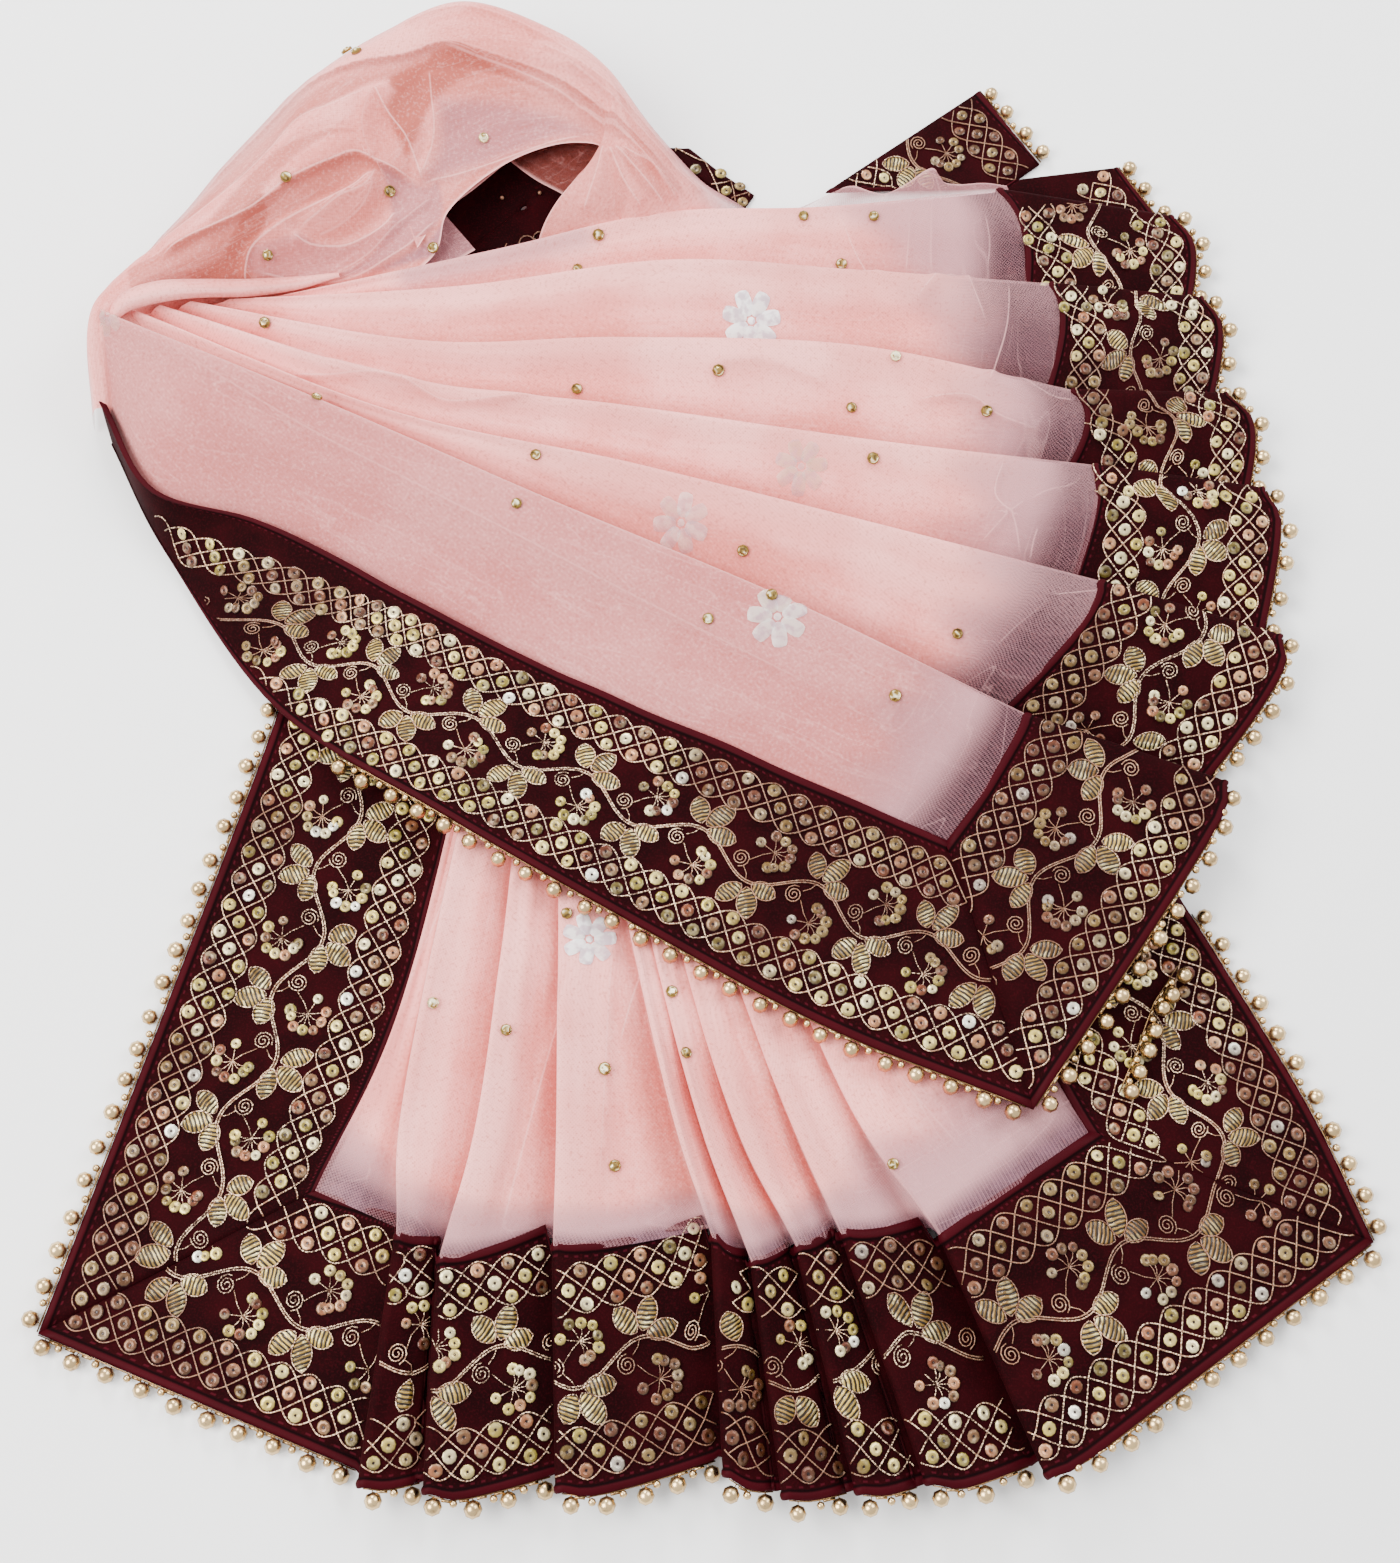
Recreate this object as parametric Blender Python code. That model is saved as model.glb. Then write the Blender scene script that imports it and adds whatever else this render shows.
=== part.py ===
"""A bridal dupatta stole, folded into a loop and laid flat.

Soft net with a wide velvet border, pleated lengthwise.  One pleated end fans
towards -Y, the other fans towards +X and lies over the first, and the cloth
between them turns round in a loop at -X +Y.  Tables are in millimetres and
the meshes in metres, +Z up, with the table surface at z = 0.
"""

from collections import namedtuple
import math

import bmesh
import bpy
from mathutils import Vector

# ---------------------------------------------------------------- sizes, mm
MM = 0.001
SEAM_GAP = 0.65
VELVET_HALF_WALL = 0.75
PIPING_HALF_WALL = 1.0
PIPING_SHARE = 0.055
PLEAT_RADIUS = 1.9
VALLEY_CENTRE = VELVET_HALF_WALL + 0.5
PLEAT_DROP_POWER = 1.1
STEP_CLEARANCE = 1.7
MITRE_GAP = 0.7
NET_SHOULDER_DROP = 2.0
NET_STEP_SLOPE = 0.8
LOWER_PILE_LIMIT = 13.8
CORNER_REST = 16.6
CORNER_RISE = (55.0, 88.0)
BEAD_PITCH = 14.0
BEAD_SMALL_RADIUS = 2.1
BEAD_LARGE_RADIUS = 3.1
BEAD_SIDES = 5
BACKING_SIZE = 1.2
FLOOR_CLEARANCE = 0.3
CENTRE_SHIFT = Vector((-0.08, -42.66, 0.0))

# Rows across a border: share of the width, and half the wall there.
BORDER_ROWS = (
    (0.0, PIPING_HALF_WALL),
    (PIPING_SHARE, VELVET_HALF_WALL),
    (1.0 - PIPING_SHARE, VELVET_HALF_WALL),
    (1.0, PIPING_HALF_WALL),
)

# ---------------------------------------------------------------- tables, mm
# Pleats of a border end.  seam and hem are the two ends of the raised fold,
# crest its height at each, tuck how far the panel before it runs in under it,
# back how far that panel's edges lie behind this fold's.
Pleat = namedtuple("Pleat", "name seam hem crest hem_crest tuck back")
Mitre = namedtuple("Mitre", "name seam hem crest hem_crest")

LOWER_LEFT_MITRE = Mitre("lower_left_mitre", (-132.5, -142.5), (-222, -189), 1.4, 1.4)
LOWER_PLEATS = (
    Pleat("lower_1", (-102, -158), (-111, -239), 14, 12, 9, 6),
    Pleat("lower_2", (-87, -166), (-89, -242), 17, 16, 14, 7),
    Pleat("lower_3", (-49, -162), (-46, -241), 18, 17, 16, 8),
    Pleat("lower_4", (4, -159), (8, -236), 18, 17, 11, 8),
    Pleat("lower_5", (17, -167), (27, -242), 17, 16, 11, 4),
    Pleat("lower_6", (32, -162), (51, -241), 17, 16, 11, 3),
    Pleat("lower_7", (47, -158), (74, -239), 18, 16, 14, 3),
    Pleat("lower_8", (80, -159), (113, -237), 20, 18, 16, 8),
)
LOWER_RIGHT_MITRE = Mitre("lower_right_mitre", (134, -124), (229, -159), 12.5, 1.6)

UPPER_CORNER = (
    Mitre("upper_8", (52, 256.5), (115, 304), 4.6, 4.6),
    Mitre("upper_8_end", (125.6, 261), (138.6, 271.2), 1.25, 1.25),
)
UPPER_START = Mitre("upper_7_start", (128, 262), (170, 268), 3.6, 3.6)
UPPER_PLEATS = (
    Pleat("upper_6", (120, 252), (193, 240), 13, 11, 10, 6),
    Pleat("upper_5", (138, 207), (202, 202), 16, 13, 14, 8),
    Pleat("upper_4", (143, 159), (208, 159), 18, 15, 14, 9),
    Pleat("upper_3", (149, 126), (218, 117), 20, 17, 12, 9),
    Pleat("upper_2", (148, 77), (218, 56), 23, 18, 14, 9),
    Pleat("upper_1", (117, 23), (192, -2), 28, 22, 12, 11),
)
UPPER_MITRE = Mitre("upper_mitre", (88, -23), (113, -116), 18.5, 18.4)

# Raised folds of the lower net, from the seam back to the root under the pile.
NetFold = namedtuple("NetFold", "name root mid seam crest foot")
LOWER_NET = (
    NetFold("left_edge", (-80, 50), (-105, -75), (-132, -142), 3, 3),
    NetFold("fold_1", (-76, 48), (-101, -105), (-102, -158), 15, 4),
    NetFold("fold_2", (-62, 42), (-74, -105), (-87, -166), 18, 5),
    NetFold("fold_3", (-52, 37), (-49, -105), (-49, -162), 19, 6),
    NetFold("fold_4", (-44, 34), (-13, -105), (4, -159), 19, 7),
    NetFold("fold_5", (-38, 31), (-5, -105), (17, -167), 19, 10),
    NetFold("fold_6", (-30, 27), (7, -108), (32, -162), 19, 10),
    NetFold("fold_7", (-20, 23), (26, -108), (47, -158), 19, 10),
    NetFold("fold_8", (0, 13), (48, -108), (80, -159), 20, 8),
    NetFold("right_edge", (84, -27), (104, -68), (134, -124), 12.5, 12.5),
)
LOWER_NET_ROWS = 9

# Raised folds of the upper net at five stations, from the loop to the seam.
UpperFold = namedtuple("UpperFold", "name a b c d seam crest_a crest_seam foot")
UPPER_NET = (
    UpperFold("back_edge", (-163, 197), (-80, 221.5), (-16, 241), (50, 248), (120, 258), 20, 2, 0),
    UpperFold("fold_6", (-165, 194), (-80, 218), (-16, 237), (50, 242), (120, 252), 26, 13, 5),
    UpperFold("fold_5", (-178, 190.5), (-92, 199), (-12, 213), (60, 211), (138, 207), 31, 16, 5),
    UpperFold("fold_4", (-192, 187), (-105, 173), (-30, 177), (60, 176), (143, 159), 35, 18, 5),
    UpperFold("fold_3", (-203, 184), (-112, 156), (-30, 147), (68, 134), (149, 126), 37, 20, 6),
    UpperFold("fold_2", (-213, 181), (-116, 141), (-28, 122), (60, 100), (148, 77), 39, 23, 7),
    UpperFold("fold_1", (-224, 178), (-139, 142), (-55, 104), (32, 66), (117, 23), 44, 28, 8),
    UpperFold("side_seam", (-228, 152), (-160, 97), (-74, 52), (10, 13), (88, -23), 20, 18.5, 18),
)
UPPER_NET_ROWS = 12

# The diagonal side border: its seam edge is the net's side seam.
UPPER_SIDE_HEM = ((-226, 141), (-202, 96), (-156, 33), (-91, -11), (-19, -53), (45, -88), (113, -116))
UPPER_SIDE_HEM_Z = (7, 3.0, 6.0, 16.6, 16.6, 16.4, 18.4)

# The side borders of the lower end, from under the pile down to the mitre.
LOWER_LEFT_HEM = ((-150, 60), (-160, 18), (-186, -70), (-222, -189))
LOWER_LEFT_Z = (1.6, 1.8, 1.6, 1.4)
LOWER_LEFT_HEM_Z = (1.4, 1.6, 1.5, 1.4)
LOWER_RIGHT_HEM = ((172, -38), (184, -60), (211, -113), (229, -159))
LOWER_RIGHT_Z = (9.0, 11.0, 12.5, 12.5)
LOWER_RIGHT_HEM_Z = (1.6, 1.6, 1.6, 1.6)

# Sections of the loop, from the lower left clockwise to the right foot.
Section = namedtuple("Section", "outer inner crest inner_z crest_at")
LOOP = (
    Section((-233, 150), (-228.9, 152.9), 16, 19, 0.90),
    Section((-238, 178), (-224.6, 179), 38, 42, 0.90),
    Section((-234, 198), (-204, 185.2), 40, 36, 0.60),
    Section((-218, 220), (-176, 193.0), 40, 29, 0.50),
    Section((-202, 243), (-150, 202.2), 41, 24, 0.45),
    Section((-185, 271), (-128, 208.8), 43, 24, 0.42),
    Section((-160, 302), (-104, 217.5), 45, 25, 0.36),
    Section((-132, 325), (-98, 232), 46, 27, 0.33),
    Section((-98, 337), (-79, 250), 47, 29, 0.33),
    Section((-58, 322), (-56, 260), 45, 30, 0.40),
    Section((-35, 303), (-39, 259), 42, 30, 0.45),
    Section((-14, 279), (-48, 248), 37, 27, 0.45),
    Section((4, 259.4), (-57, 236), 31, 25, 0.42),
    Section((18, 250.7), (-64, 228.6), 24, 23, 0.40),
)
LOOP_SECTIONS = 27
LOOP_COLUMNS = 9
LOOP_FOLD_WAVES = 3.5
LOOP_FOLD_DEPTH = 1.4

LOOP_FLOOR = ((-95, 220, 6), (-66, 229, 6), (-60, 238, 8), (-49.2, 247.4, 12),
              (-46, 255, 15), (-57, 256.5, 15), (-77, 247, 13), (-94, 231, 9))
LOOP_EDGE_INNER = ((-13.5, 279.4), (4.4, 260.0), (18.4, 251.1))
LOOP_EDGE_OUTER = ((1, 279), (16, 266.5), (28, 258))

# The knot of bead drops beside the upper corner, on the lower right border.
BEAD_CLUSTER = ((168, -64), (158, -78), (150, -96), (143, -110))

# ---------------------------------------------------------------- materials
Finish = namedtuple("Finish", "name colour roughness metallic")
NET_FINISH = Finish("peach_net", (0.84, 0.49, 0.45, 1.0), 0.85, 0.0)
VELVET_FINISH = Finish("maroon_velvet", (0.060, 0.004, 0.012, 1.0), 0.90, 0.0)
BEAD_FINISH = Finish("gold_bead", (0.86, 0.66, 0.38, 1.0), 0.28, 1.0)


def finish_material(finish):
    material = bpy.data.materials.get(finish.name)
    if material:
        return material
    material = bpy.data.materials.new(finish.name)
    material.use_nodes = True
    shader = material.node_tree.nodes["Principled BSDF"]
    shader.inputs["Base Color"].default_value = finish.colour
    shader.inputs["Roughness"].default_value = finish.roughness
    shader.inputs["Metallic"].default_value = finish.metallic
    material.diffuse_color = finish.colour
    return material


# ---------------------------------------------------------------- geometry
def mix(a, b, share):
    return a + (b - a) * share


def ease(low, high, value):
    share = min(max((value - low) / (high - low), 0.0), 1.0)
    return share * share * (3.0 - 2.0 * share)


def smooth_curve(points, share):
    """A point on the Catmull-Rom curve through points, share from 0 to 1."""
    spans = len(points) - 1
    place = min(max(share, 0.0), 1.0) * spans
    index = min(int(place), spans - 1)
    u = place - index
    p1 = Vector(points[index])
    p2 = Vector(points[index + 1])
    p0 = Vector(points[index - 1]) if index > 0 else p1 * 2.0 - p2
    p3 = Vector(points[index + 2]) if index + 2 <= spans else p2 * 2.0 - p1
    return 0.5 * (2.0 * p1 + (p2 - p0) * u + (2.0 * p0 - 5.0 * p1 + 4.0 * p2 - p3) * u * u
                  + (3.0 * p1 - p0 - 3.0 * p2 + p3) * u * u * u)


def smooth_value(values, share):
    return smooth_curve([(value, 0.0) for value in values], share).x


def raised(plan, height):
    return Vector((plan[0], plan[1], height))


def add_object(name, bm, finish):
    bmesh.ops.recalc_face_normals(bm, faces=bm.faces)
    if bm.calc_volume(signed=True) < 0.0:
        bmesh.ops.reverse_faces(bm, faces=bm.faces)
    bmesh.ops.translate(bm, verts=bm.verts, vec=CENTRE_SHIFT)
    bmesh.ops.scale(bm, verts=bm.verts, vec=(MM, MM, MM))
    mesh = bpy.data.meshes.new(name)
    bm.to_mesh(mesh)
    bm.free()
    mesh.materials.append(finish_material(finish))
    mesh.shade_smooth()
    mesh.set_sharp_from_angle(angle=math.radians(50.0))
    piece = bpy.data.objects.new(name, mesh)
    bpy.context.scene.collection.objects.link(piece)
    return piece


def grid_faces(bm, grid):
    for left, right in zip(grid, grid[1:]):
        for j in range(len(left) - 1):
            bm.faces.new((left[j], right[j], right[j + 1], left[j + 1]))


def rim_places(columns, rows):
    """Places of the points round the edge of a grid, in order."""
    rim = [(i, 0) for i in range(columns)]
    rim += [(columns - 1, j) for j in range(1, rows)]
    rim += [(i, rows - 1) for i in range(columns - 2, -1, -1)]
    rim += [(0, j) for j in range(rows - 2, 0, -1)]
    return rim


def close_grids(bm, top, bottom):
    """Faces of a closed body between two grids of equal size."""
    grid_faces(bm, top)
    grid_faces(bm, bottom)
    rim = rim_places(len(top), len(top[0]))
    for (i, j), (k, m) in zip(rim, rim[1:] + rim[:1]):
        bm.faces.new((top[i][j], top[k][m], bottom[k][m], bottom[i][j]))


def wall(name, grid, half_walls, finish, upright=False):
    """A cloth wall whose middle surface is grid, a list of columns of points."""
    columns = len(grid)
    rows = len(grid[0])
    bm = bmesh.new()
    top = []
    bottom = []
    for i in range(columns):
        top_column = []
        bottom_column = []
        for j in range(rows):
            before = grid[max(i - 1, 0)][j]
            after = grid[min(i + 1, columns - 1)][j]
            here = grid[i][j]
            along = (after - here).normalized() + (here - before).normalized()
            across = grid[i][min(j + 1, rows - 1)] - grid[i][max(j - 1, 0)]
            normal = Vector((0.0, 0.0, 1.0)) if upright else along.cross(across).normalized()
            offset = normal * half_walls[j]
            top_column.append(bm.verts.new(here - offset))
            bottom_column.append(bm.verts.new(here + offset))
        top.append(top_column)
        bottom.append(bottom_column)
    close_grids(bm, top, bottom)
    return add_object(name, bm, finish)


def heap(name, grid, finish):
    """A pile of hidden layers under the top surface grid, flat where it rests."""
    bm = bmesh.new()
    top = [[bm.verts.new(point) for point in column] for column in grid]
    grid_faces(bm, top)
    rim = [top[i][j] for i, j in rim_places(len(top), len(top[0]))]
    base = [bm.verts.new((vert.co.x, vert.co.y, 0.0)) for vert in rim]
    for k, vert in enumerate(rim):
        beyond = (k + 1) % len(rim)
        bm.faces.new((vert, rim[beyond], base[beyond], base[k]))
    bm.faces.new(base)
    return add_object(name, bm, finish)


# ---------------------------------------------------------------- pleated ends
def pleat_line(pleat, share):
    """The raised fold at a share of the border's width: its plan and height."""
    plan = Vector(pleat.seam).lerp(Vector(pleat.hem), share)
    return plan, mix(pleat.crest, pleat.hem_crest, share)


def inward(pleat):
    return (Vector(pleat.seam) - Vector(pleat.hem)).normalized()


def visible_end(pleat, share):
    """Where the panel before this fold goes under it."""
    plan, _ = pleat_line(pleat, share)
    return plan + inward(pleat) * pleat.back


def fold_turn(centre, aim, bottom):
    """Four points round a soft fold of the cloth, from its under side to its top."""
    points = []
    for angle in (-90.0, -30.0, 30.0, 90.0):
        turn = math.radians(angle)
        plan = centre + aim * (PLEAT_RADIUS * math.cos(turn))
        points.append(raised(plan, bottom + PLEAT_RADIUS * (1.0 + math.sin(turn))))
    return points


def panel_points(fold, following, share, last):
    """A panel's start, its direction and the fall from its crest where it shows."""
    start, crest = pleat_line(fold, share)
    if last:
        end, end_z = pleat_line(following, share)
        hidden = 0.0
    else:
        end = visible_end(following, share)
        end_z = VALLEY_CENTRE
        hidden = following.tuck
    forward = (end - start).normalized()
    if isinstance(fold, Pleat):
        start = start + forward * PLEAT_RADIUS
    run = (end - start).length

    def at(distance):
        fall = (distance / (run + hidden)) ** (1.0 if last else PLEAT_DROP_POWER)
        return raised(start + forward * distance, mix(crest, end_z, fall))

    return start, forward, crest, run, at


def panel_column(fold, following, after, share):
    """Points of one panel, from its raised fold down to the valley under the next."""
    last = after is None
    start, forward, crest, run, at = panel_points(fold, following, share, last)
    points = []
    if isinstance(fold, Pleat):
        points += fold_turn(start, -forward, crest - 2.0 * PLEAT_RADIUS)
    else:
        points.append(at(0.0))
    if last:
        return points + [at(run * part) for part in (0.25, 0.5, 0.75, 1.0)]
    points += [at(run * part) for part in (0.3, 0.65)]
    points.append(at(run - 2.0 * STEP_CLEARANCE))
    if isinstance(after, Mitre):
        after_plan, _ = pleat_line(after, share)
    else:
        after_plan = visible_end(after, share)
    next_plan, _ = pleat_line(following, share)
    onward = (after_plan - next_plan).normalized()
    under = next_plan + inward(following) * (following.back * share)
    points.append(raised(under - onward * STEP_CLEARANCE, at(run - STEP_CLEARANCE).z))
    valley = under + onward * (following.tuck - PLEAT_RADIUS)
    points += fold_turn(valley, onward, VALLEY_CENTRE)
    return points


def border_end(name, folds):
    """The pleated end of the border, one wall through all its panels."""
    columns_by_row = []
    halves = []
    for share, half in BORDER_ROWS:
        row = []
        for fold, following, after in zip(folds, folds[1:], folds[2:] + (None,)):
            row += panel_column(fold, following, after, share)
        gap = inward(folds[1]) * SEAM_GAP
        shift = Vector((gap.x, gap.y, 0.0)) * (-1.0 if share < 0.5 else 0.0)
        columns_by_row.append([point + shift for point in row])
        halves.append(half)
    grid = [list(column) for column in zip(*columns_by_row)]
    return wall(name, grid, halves, VELVET_FINISH)


# ---------------------------------------------------------------- side borders
def side_border(name, seam, hem, seam_z, hem_z, columns):
    """A border strip that lies along the cloth, between two edges, up to its mitre."""
    grid = []
    for i in range(columns):
        share = i / (columns - 1)
        inner = raised(smooth_curve(seam, share), smooth_value(seam_z, share))
        outer = raised(smooth_curve(hem, share), smooth_value(hem_z, share))
        inner = inner + (outer - inner).normalized() * SEAM_GAP
        grid.append([inner.lerp(outer, place) for place, _ in BORDER_ROWS])
    for j, point in enumerate(grid[-1]):
        grid[-1][j] = point + (grid[-2][j] - point).normalized() * MITRE_GAP
    return wall(name, grid, [half for _, half in BORDER_ROWS], VELVET_FINISH, upright=True)


def upper_corner():
    """The far corner of the border, a panel lying flat beyond the others."""
    first, last = UPPER_CORNER
    grid = []
    for i in range(5):
        share = i / 4
        inner = Vector(first.seam).lerp(Vector(last.seam), share)
        outer = Vector(first.hem).lerp(Vector(last.hem), share)
        height = mix(first.crest, last.crest, share ** 0.7)
        grid.append([raised(inner.lerp(outer, place), height) for place, _ in BORDER_ROWS])
    return wall("velvet_upper_corner", grid, [half for _, half in BORDER_ROWS], VELVET_FINISH, upright=True)


# ---------------------------------------------------------------- net
def net_columns(crests, feet, ends):
    """Top points across the net at one row: each fold, its panel and the step."""
    points = []
    for k in range(len(crests) - 1):
        crest = crests[k]
        end = ends[k]
        foot = feet[k + 1]
        low = crest.z - NET_SHOULDER_DROP if k else crest.z
        points.append(raised(crest, low))
        width = (end - crest.xy).length
        shoulder = min(3.0 / max(width, 0.1), 0.3)
        points.append(raised(crest.xy.lerp(end, shoulder), crest.z))
        points.append(raised(crest.xy.lerp(end, 0.6), mix(crest.z, foot, 0.6)))
        if k < len(crests) - 2:
            points.append(raised(end, min(foot, crest.z)))
    points.append(crests[-1])
    return points


def step_foot(before, crest, pleat):
    """Where the panel before a fold ends: just short of it, or behind it at the seam."""
    if pleat:
        return crest + inward(pleat) * pleat.back
    return crest + (before - crest).normalized() * NET_STEP_SLOPE


def beyond_upper_hem(plan):
    """How far a place lies outside the diagonal hem of the upper fan."""
    start = Vector(UPPER_SIDE_HEM[3])
    along = (Vector(UPPER_SIDE_HEM[-1]) - start).normalized()
    offset = Vector((plan[0], plan[1])) - start
    return offset.dot(Vector((along.y, -along.x)))


def beside_line(plan, start, end):
    """Distance to the right of a line in plan, negative on its left."""
    along = (Vector(end) - Vector(start)).normalized()
    offset = Vector((plan[0], plan[1])) - Vector(start)
    return offset.dot(Vector((along.y, -along.x)))


def right_border_top(plan):
    """The top of the lower right border at a place, from its two edges."""
    inside = max(-beside_line(plan, LOWER_NET[-1].root, LOWER_NET[-1].seam), 0.0)
    to_hem = max(beside_line(plan, LOWER_RIGHT_HEM[0], LOWER_RIGHT_HEM[-1]), 0.0)
    fall = inside / max(inside + to_hem, 1.0)
    return mix(LOWER_RIGHT_Z[-1], LOWER_RIGHT_HEM_Z[-1], fall) + VELVET_HALF_WALL


def pile_top(plan):
    """How high the lower end reaches where the upper fan's edge lies on it."""
    outside_right = -beside_line(plan, LOWER_NET[-1].root, LOWER_NET[-1].seam)
    outside_left = beside_line(plan, LOWER_NET[0].root, LOWER_NET[0].seam)
    over_net = mix(LOWER_PILE_LIMIT + SEAM_GAP, CORNER_REST, ease(CORNER_RISE[0], CORNER_RISE[1], plan[0]))
    over_right = mix(over_net, right_border_top(plan) + SEAM_GAP, ease(0.0, 14.0, outside_right))
    over_left = mix(over_net, 3.4, ease(1.0, 12.0, outside_left))
    if outside_right > 80.0 or outside_left > 78.0:
        return FLOOR_CLEARANCE
    return min(over_right, over_left)


def lower_net():
    """The lower fan of net: its folds press flat where the upper fan lies on them."""
    grid = []
    pleats = {pleat.seam: pleat for pleat in LOWER_PLEATS}
    for row in range(LOWER_NET_ROWS):
        share = row / (LOWER_NET_ROWS - 1)
        crests = []
        feet = []
        ends = []
        for fold in LOWER_NET:
            plan = smooth_curve((fold.root, fold.mid, fold.seam), share)
            free = ease(24.0, 50.0, beyond_upper_hem(plan))
            crest = mix(min(fold.crest, LOWER_PILE_LIMIT), fold.crest, free)
            crests.append(raised(plan, crest))
            feet.append(mix(min(fold.foot + 2.0, crest), fold.foot, free))
        for k in range(1, len(LOWER_NET)):
            pleat = pleats.get(LOWER_NET[k].seam)
            at_seam = row == LOWER_NET_ROWS - 1
            ends.append(step_foot(crests[k - 1].xy, crests[k].xy, pleat if at_seam else None))
        grid.append(net_columns(crests, feet, ends))
    return heap("net_lower_fan", grid, NET_FINISH)


def upper_net():
    """The upper fan of net, lying on the lower one and then on the table."""
    grid = []
    pleats = {pleat.seam: pleat for pleat in UPPER_PLEATS}
    for row in range(UPPER_NET_ROWS):
        share = row / (UPPER_NET_ROWS - 1)
        crests = []
        feet = []
        ends = []
        for fold in UPPER_NET:
            plan = smooth_curve((fold.a, fold.b, fold.c, fold.d, fold.seam), share)
            crest = mix(fold.crest_a, fold.crest_seam, share)
            crests.append(raised(plan, crest))
            feet.append(min(crest, mix(crest * 0.72, fold.foot, ease(0.2, 1.0, share))))
        for k in range(1, len(UPPER_NET)):
            pleat = pleats.get(UPPER_NET[k].seam)
            at_seam = row == UPPER_NET_ROWS - 1
            ends.append(step_foot(crests[k - 1].xy, crests[k].xy, pleat if at_seam else None))
        grid.append(net_columns(crests, feet, ends))
    return heap("net_upper_fan", grid, NET_FINISH)


def loop_net():
    """The turn of the cloth: an arch of net round a small hollow."""
    grid = []
    for i in range(LOOP_SECTIONS):
        share = i / (LOOP_SECTIONS - 1)
        outer = smooth_curve([section.outer for section in LOOP], share)
        inner = smooth_curve([section.inner for section in LOOP], share)
        crest = smooth_value([section.crest for section in LOOP], share)
        inner_z = smooth_value([section.inner_z for section in LOOP], share)
        crest_at = smooth_value([section.crest_at for section in LOOP], share)
        column = []
        for j in range(LOOP_COLUMNS):
            across = (j / (LOOP_COLUMNS - 1)) ** 1.4
            if across < crest_at:
                rise = math.sin(0.5 * math.pi * across / crest_at)
                height = 1.0 + (crest - 1.0) * rise ** 0.8
            else:
                fall = ease(crest_at, 1.0, across)
                height = mix(crest, inner_z, fall)
                height += LOOP_FOLD_DEPTH * math.sin(LOOP_FOLD_WAVES * math.tau * fall) * (1.0 - fall)
            column.append(raised(outer.lerp(inner, across), height))
        grid.append(column)
    return heap("net_loop", grid, NET_FINISH)


def loop_velvet():
    """The far border where it shows: inside the hollow and outside the arch."""
    bm = bmesh.new()
    top = [bm.verts.new((x, y, z + VELVET_HALF_WALL * 2.0)) for x, y, z in LOOP_FLOOR]
    bottom = [bm.verts.new((x, y, z)) for x, y, z in LOOP_FLOOR]
    centre = Vector((0.0, 0.0, 0.0))
    for corner in LOOP_FLOOR:
        centre += Vector(corner) / len(LOOP_FLOOR)
    top_centre = bm.verts.new(centre + Vector((0.0, 0.0, VELVET_HALF_WALL * 2.0)))
    bottom_centre = bm.verts.new(centre)
    count = len(LOOP_FLOOR)
    for k in range(count):
        m = (k + 1) % count
        bm.faces.new((top[k], top[m], top_centre))
        bm.faces.new((bottom[m], bottom[k], bottom_centre))
        bm.faces.new((top[k], bottom[k], bottom[m], top[m]))
    add_object("velvet_loop_inside", bm, VELVET_FINISH)
    grid = []
    for i in range(5):
        share = i / 4
        inner = raised(smooth_curve(LOOP_EDGE_INNER, share), VELVET_HALF_WALL)
        outer = raised(smooth_curve(LOOP_EDGE_OUTER, share), VELVET_HALF_WALL)
        grid.append([inner, outer])
    wall("velvet_loop_outside", grid, (VELVET_HALF_WALL, VELVET_HALF_WALL), VELVET_FINISH)


# ---------------------------------------------------------------- bead edging
def bead_profile():
    """Distance out from the backing and radius, for one small and one large bead."""
    neck = BEAD_SMALL_RADIUS * 0.45
    small_centre = BEAD_SMALL_RADIUS + 0.2
    large_centre = small_centre + BEAD_SMALL_RADIUS * 0.8 + BEAD_LARGE_RADIUS
    return (
        (small_centre, BEAD_SMALL_RADIUS),
        (small_centre + BEAD_SMALL_RADIUS * 0.85, neck),
        (large_centre - BEAD_LARGE_RADIUS * 0.35, BEAD_LARGE_RADIUS * 0.95),
        (large_centre + BEAD_LARGE_RADIUS * 0.55, BEAD_LARGE_RADIUS * 0.8),
    )


def bead_drop(bm, root, outward):
    """One drop of two beads, a closed turned body whose root is in the backing."""
    side = outward.cross(Vector((0.0, 0.0, 1.0))).normalized()
    up = side.cross(outward).normalized()
    profile = bead_profile()
    rings = []
    for distance, radius in profile:
        ring = []
        for k in range(BEAD_SIDES):
            turn = math.tau * (k + 0.75) / BEAD_SIDES
            spoke = side * math.cos(turn) + up * math.sin(turn)
            ring.append(bm.verts.new(root + outward * distance + spoke * radius))
        rings.append(ring)
    start = bm.verts.new(root)
    tip_distance = profile[-1][0] + BEAD_LARGE_RADIUS * 0.45
    tip = bm.verts.new(root + outward * tip_distance)
    for k in range(BEAD_SIDES):
        m = (k + 1) % BEAD_SIDES
        bm.faces.new((start, rings[0][m], rings[0][k]))
        for ring, beyond in zip(rings, rings[1:]):
            bm.faces.new((ring[k], ring[m], beyond[m], beyond[k]))
        bm.faces.new((rings[-1][k], rings[-1][m], tip))


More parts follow.
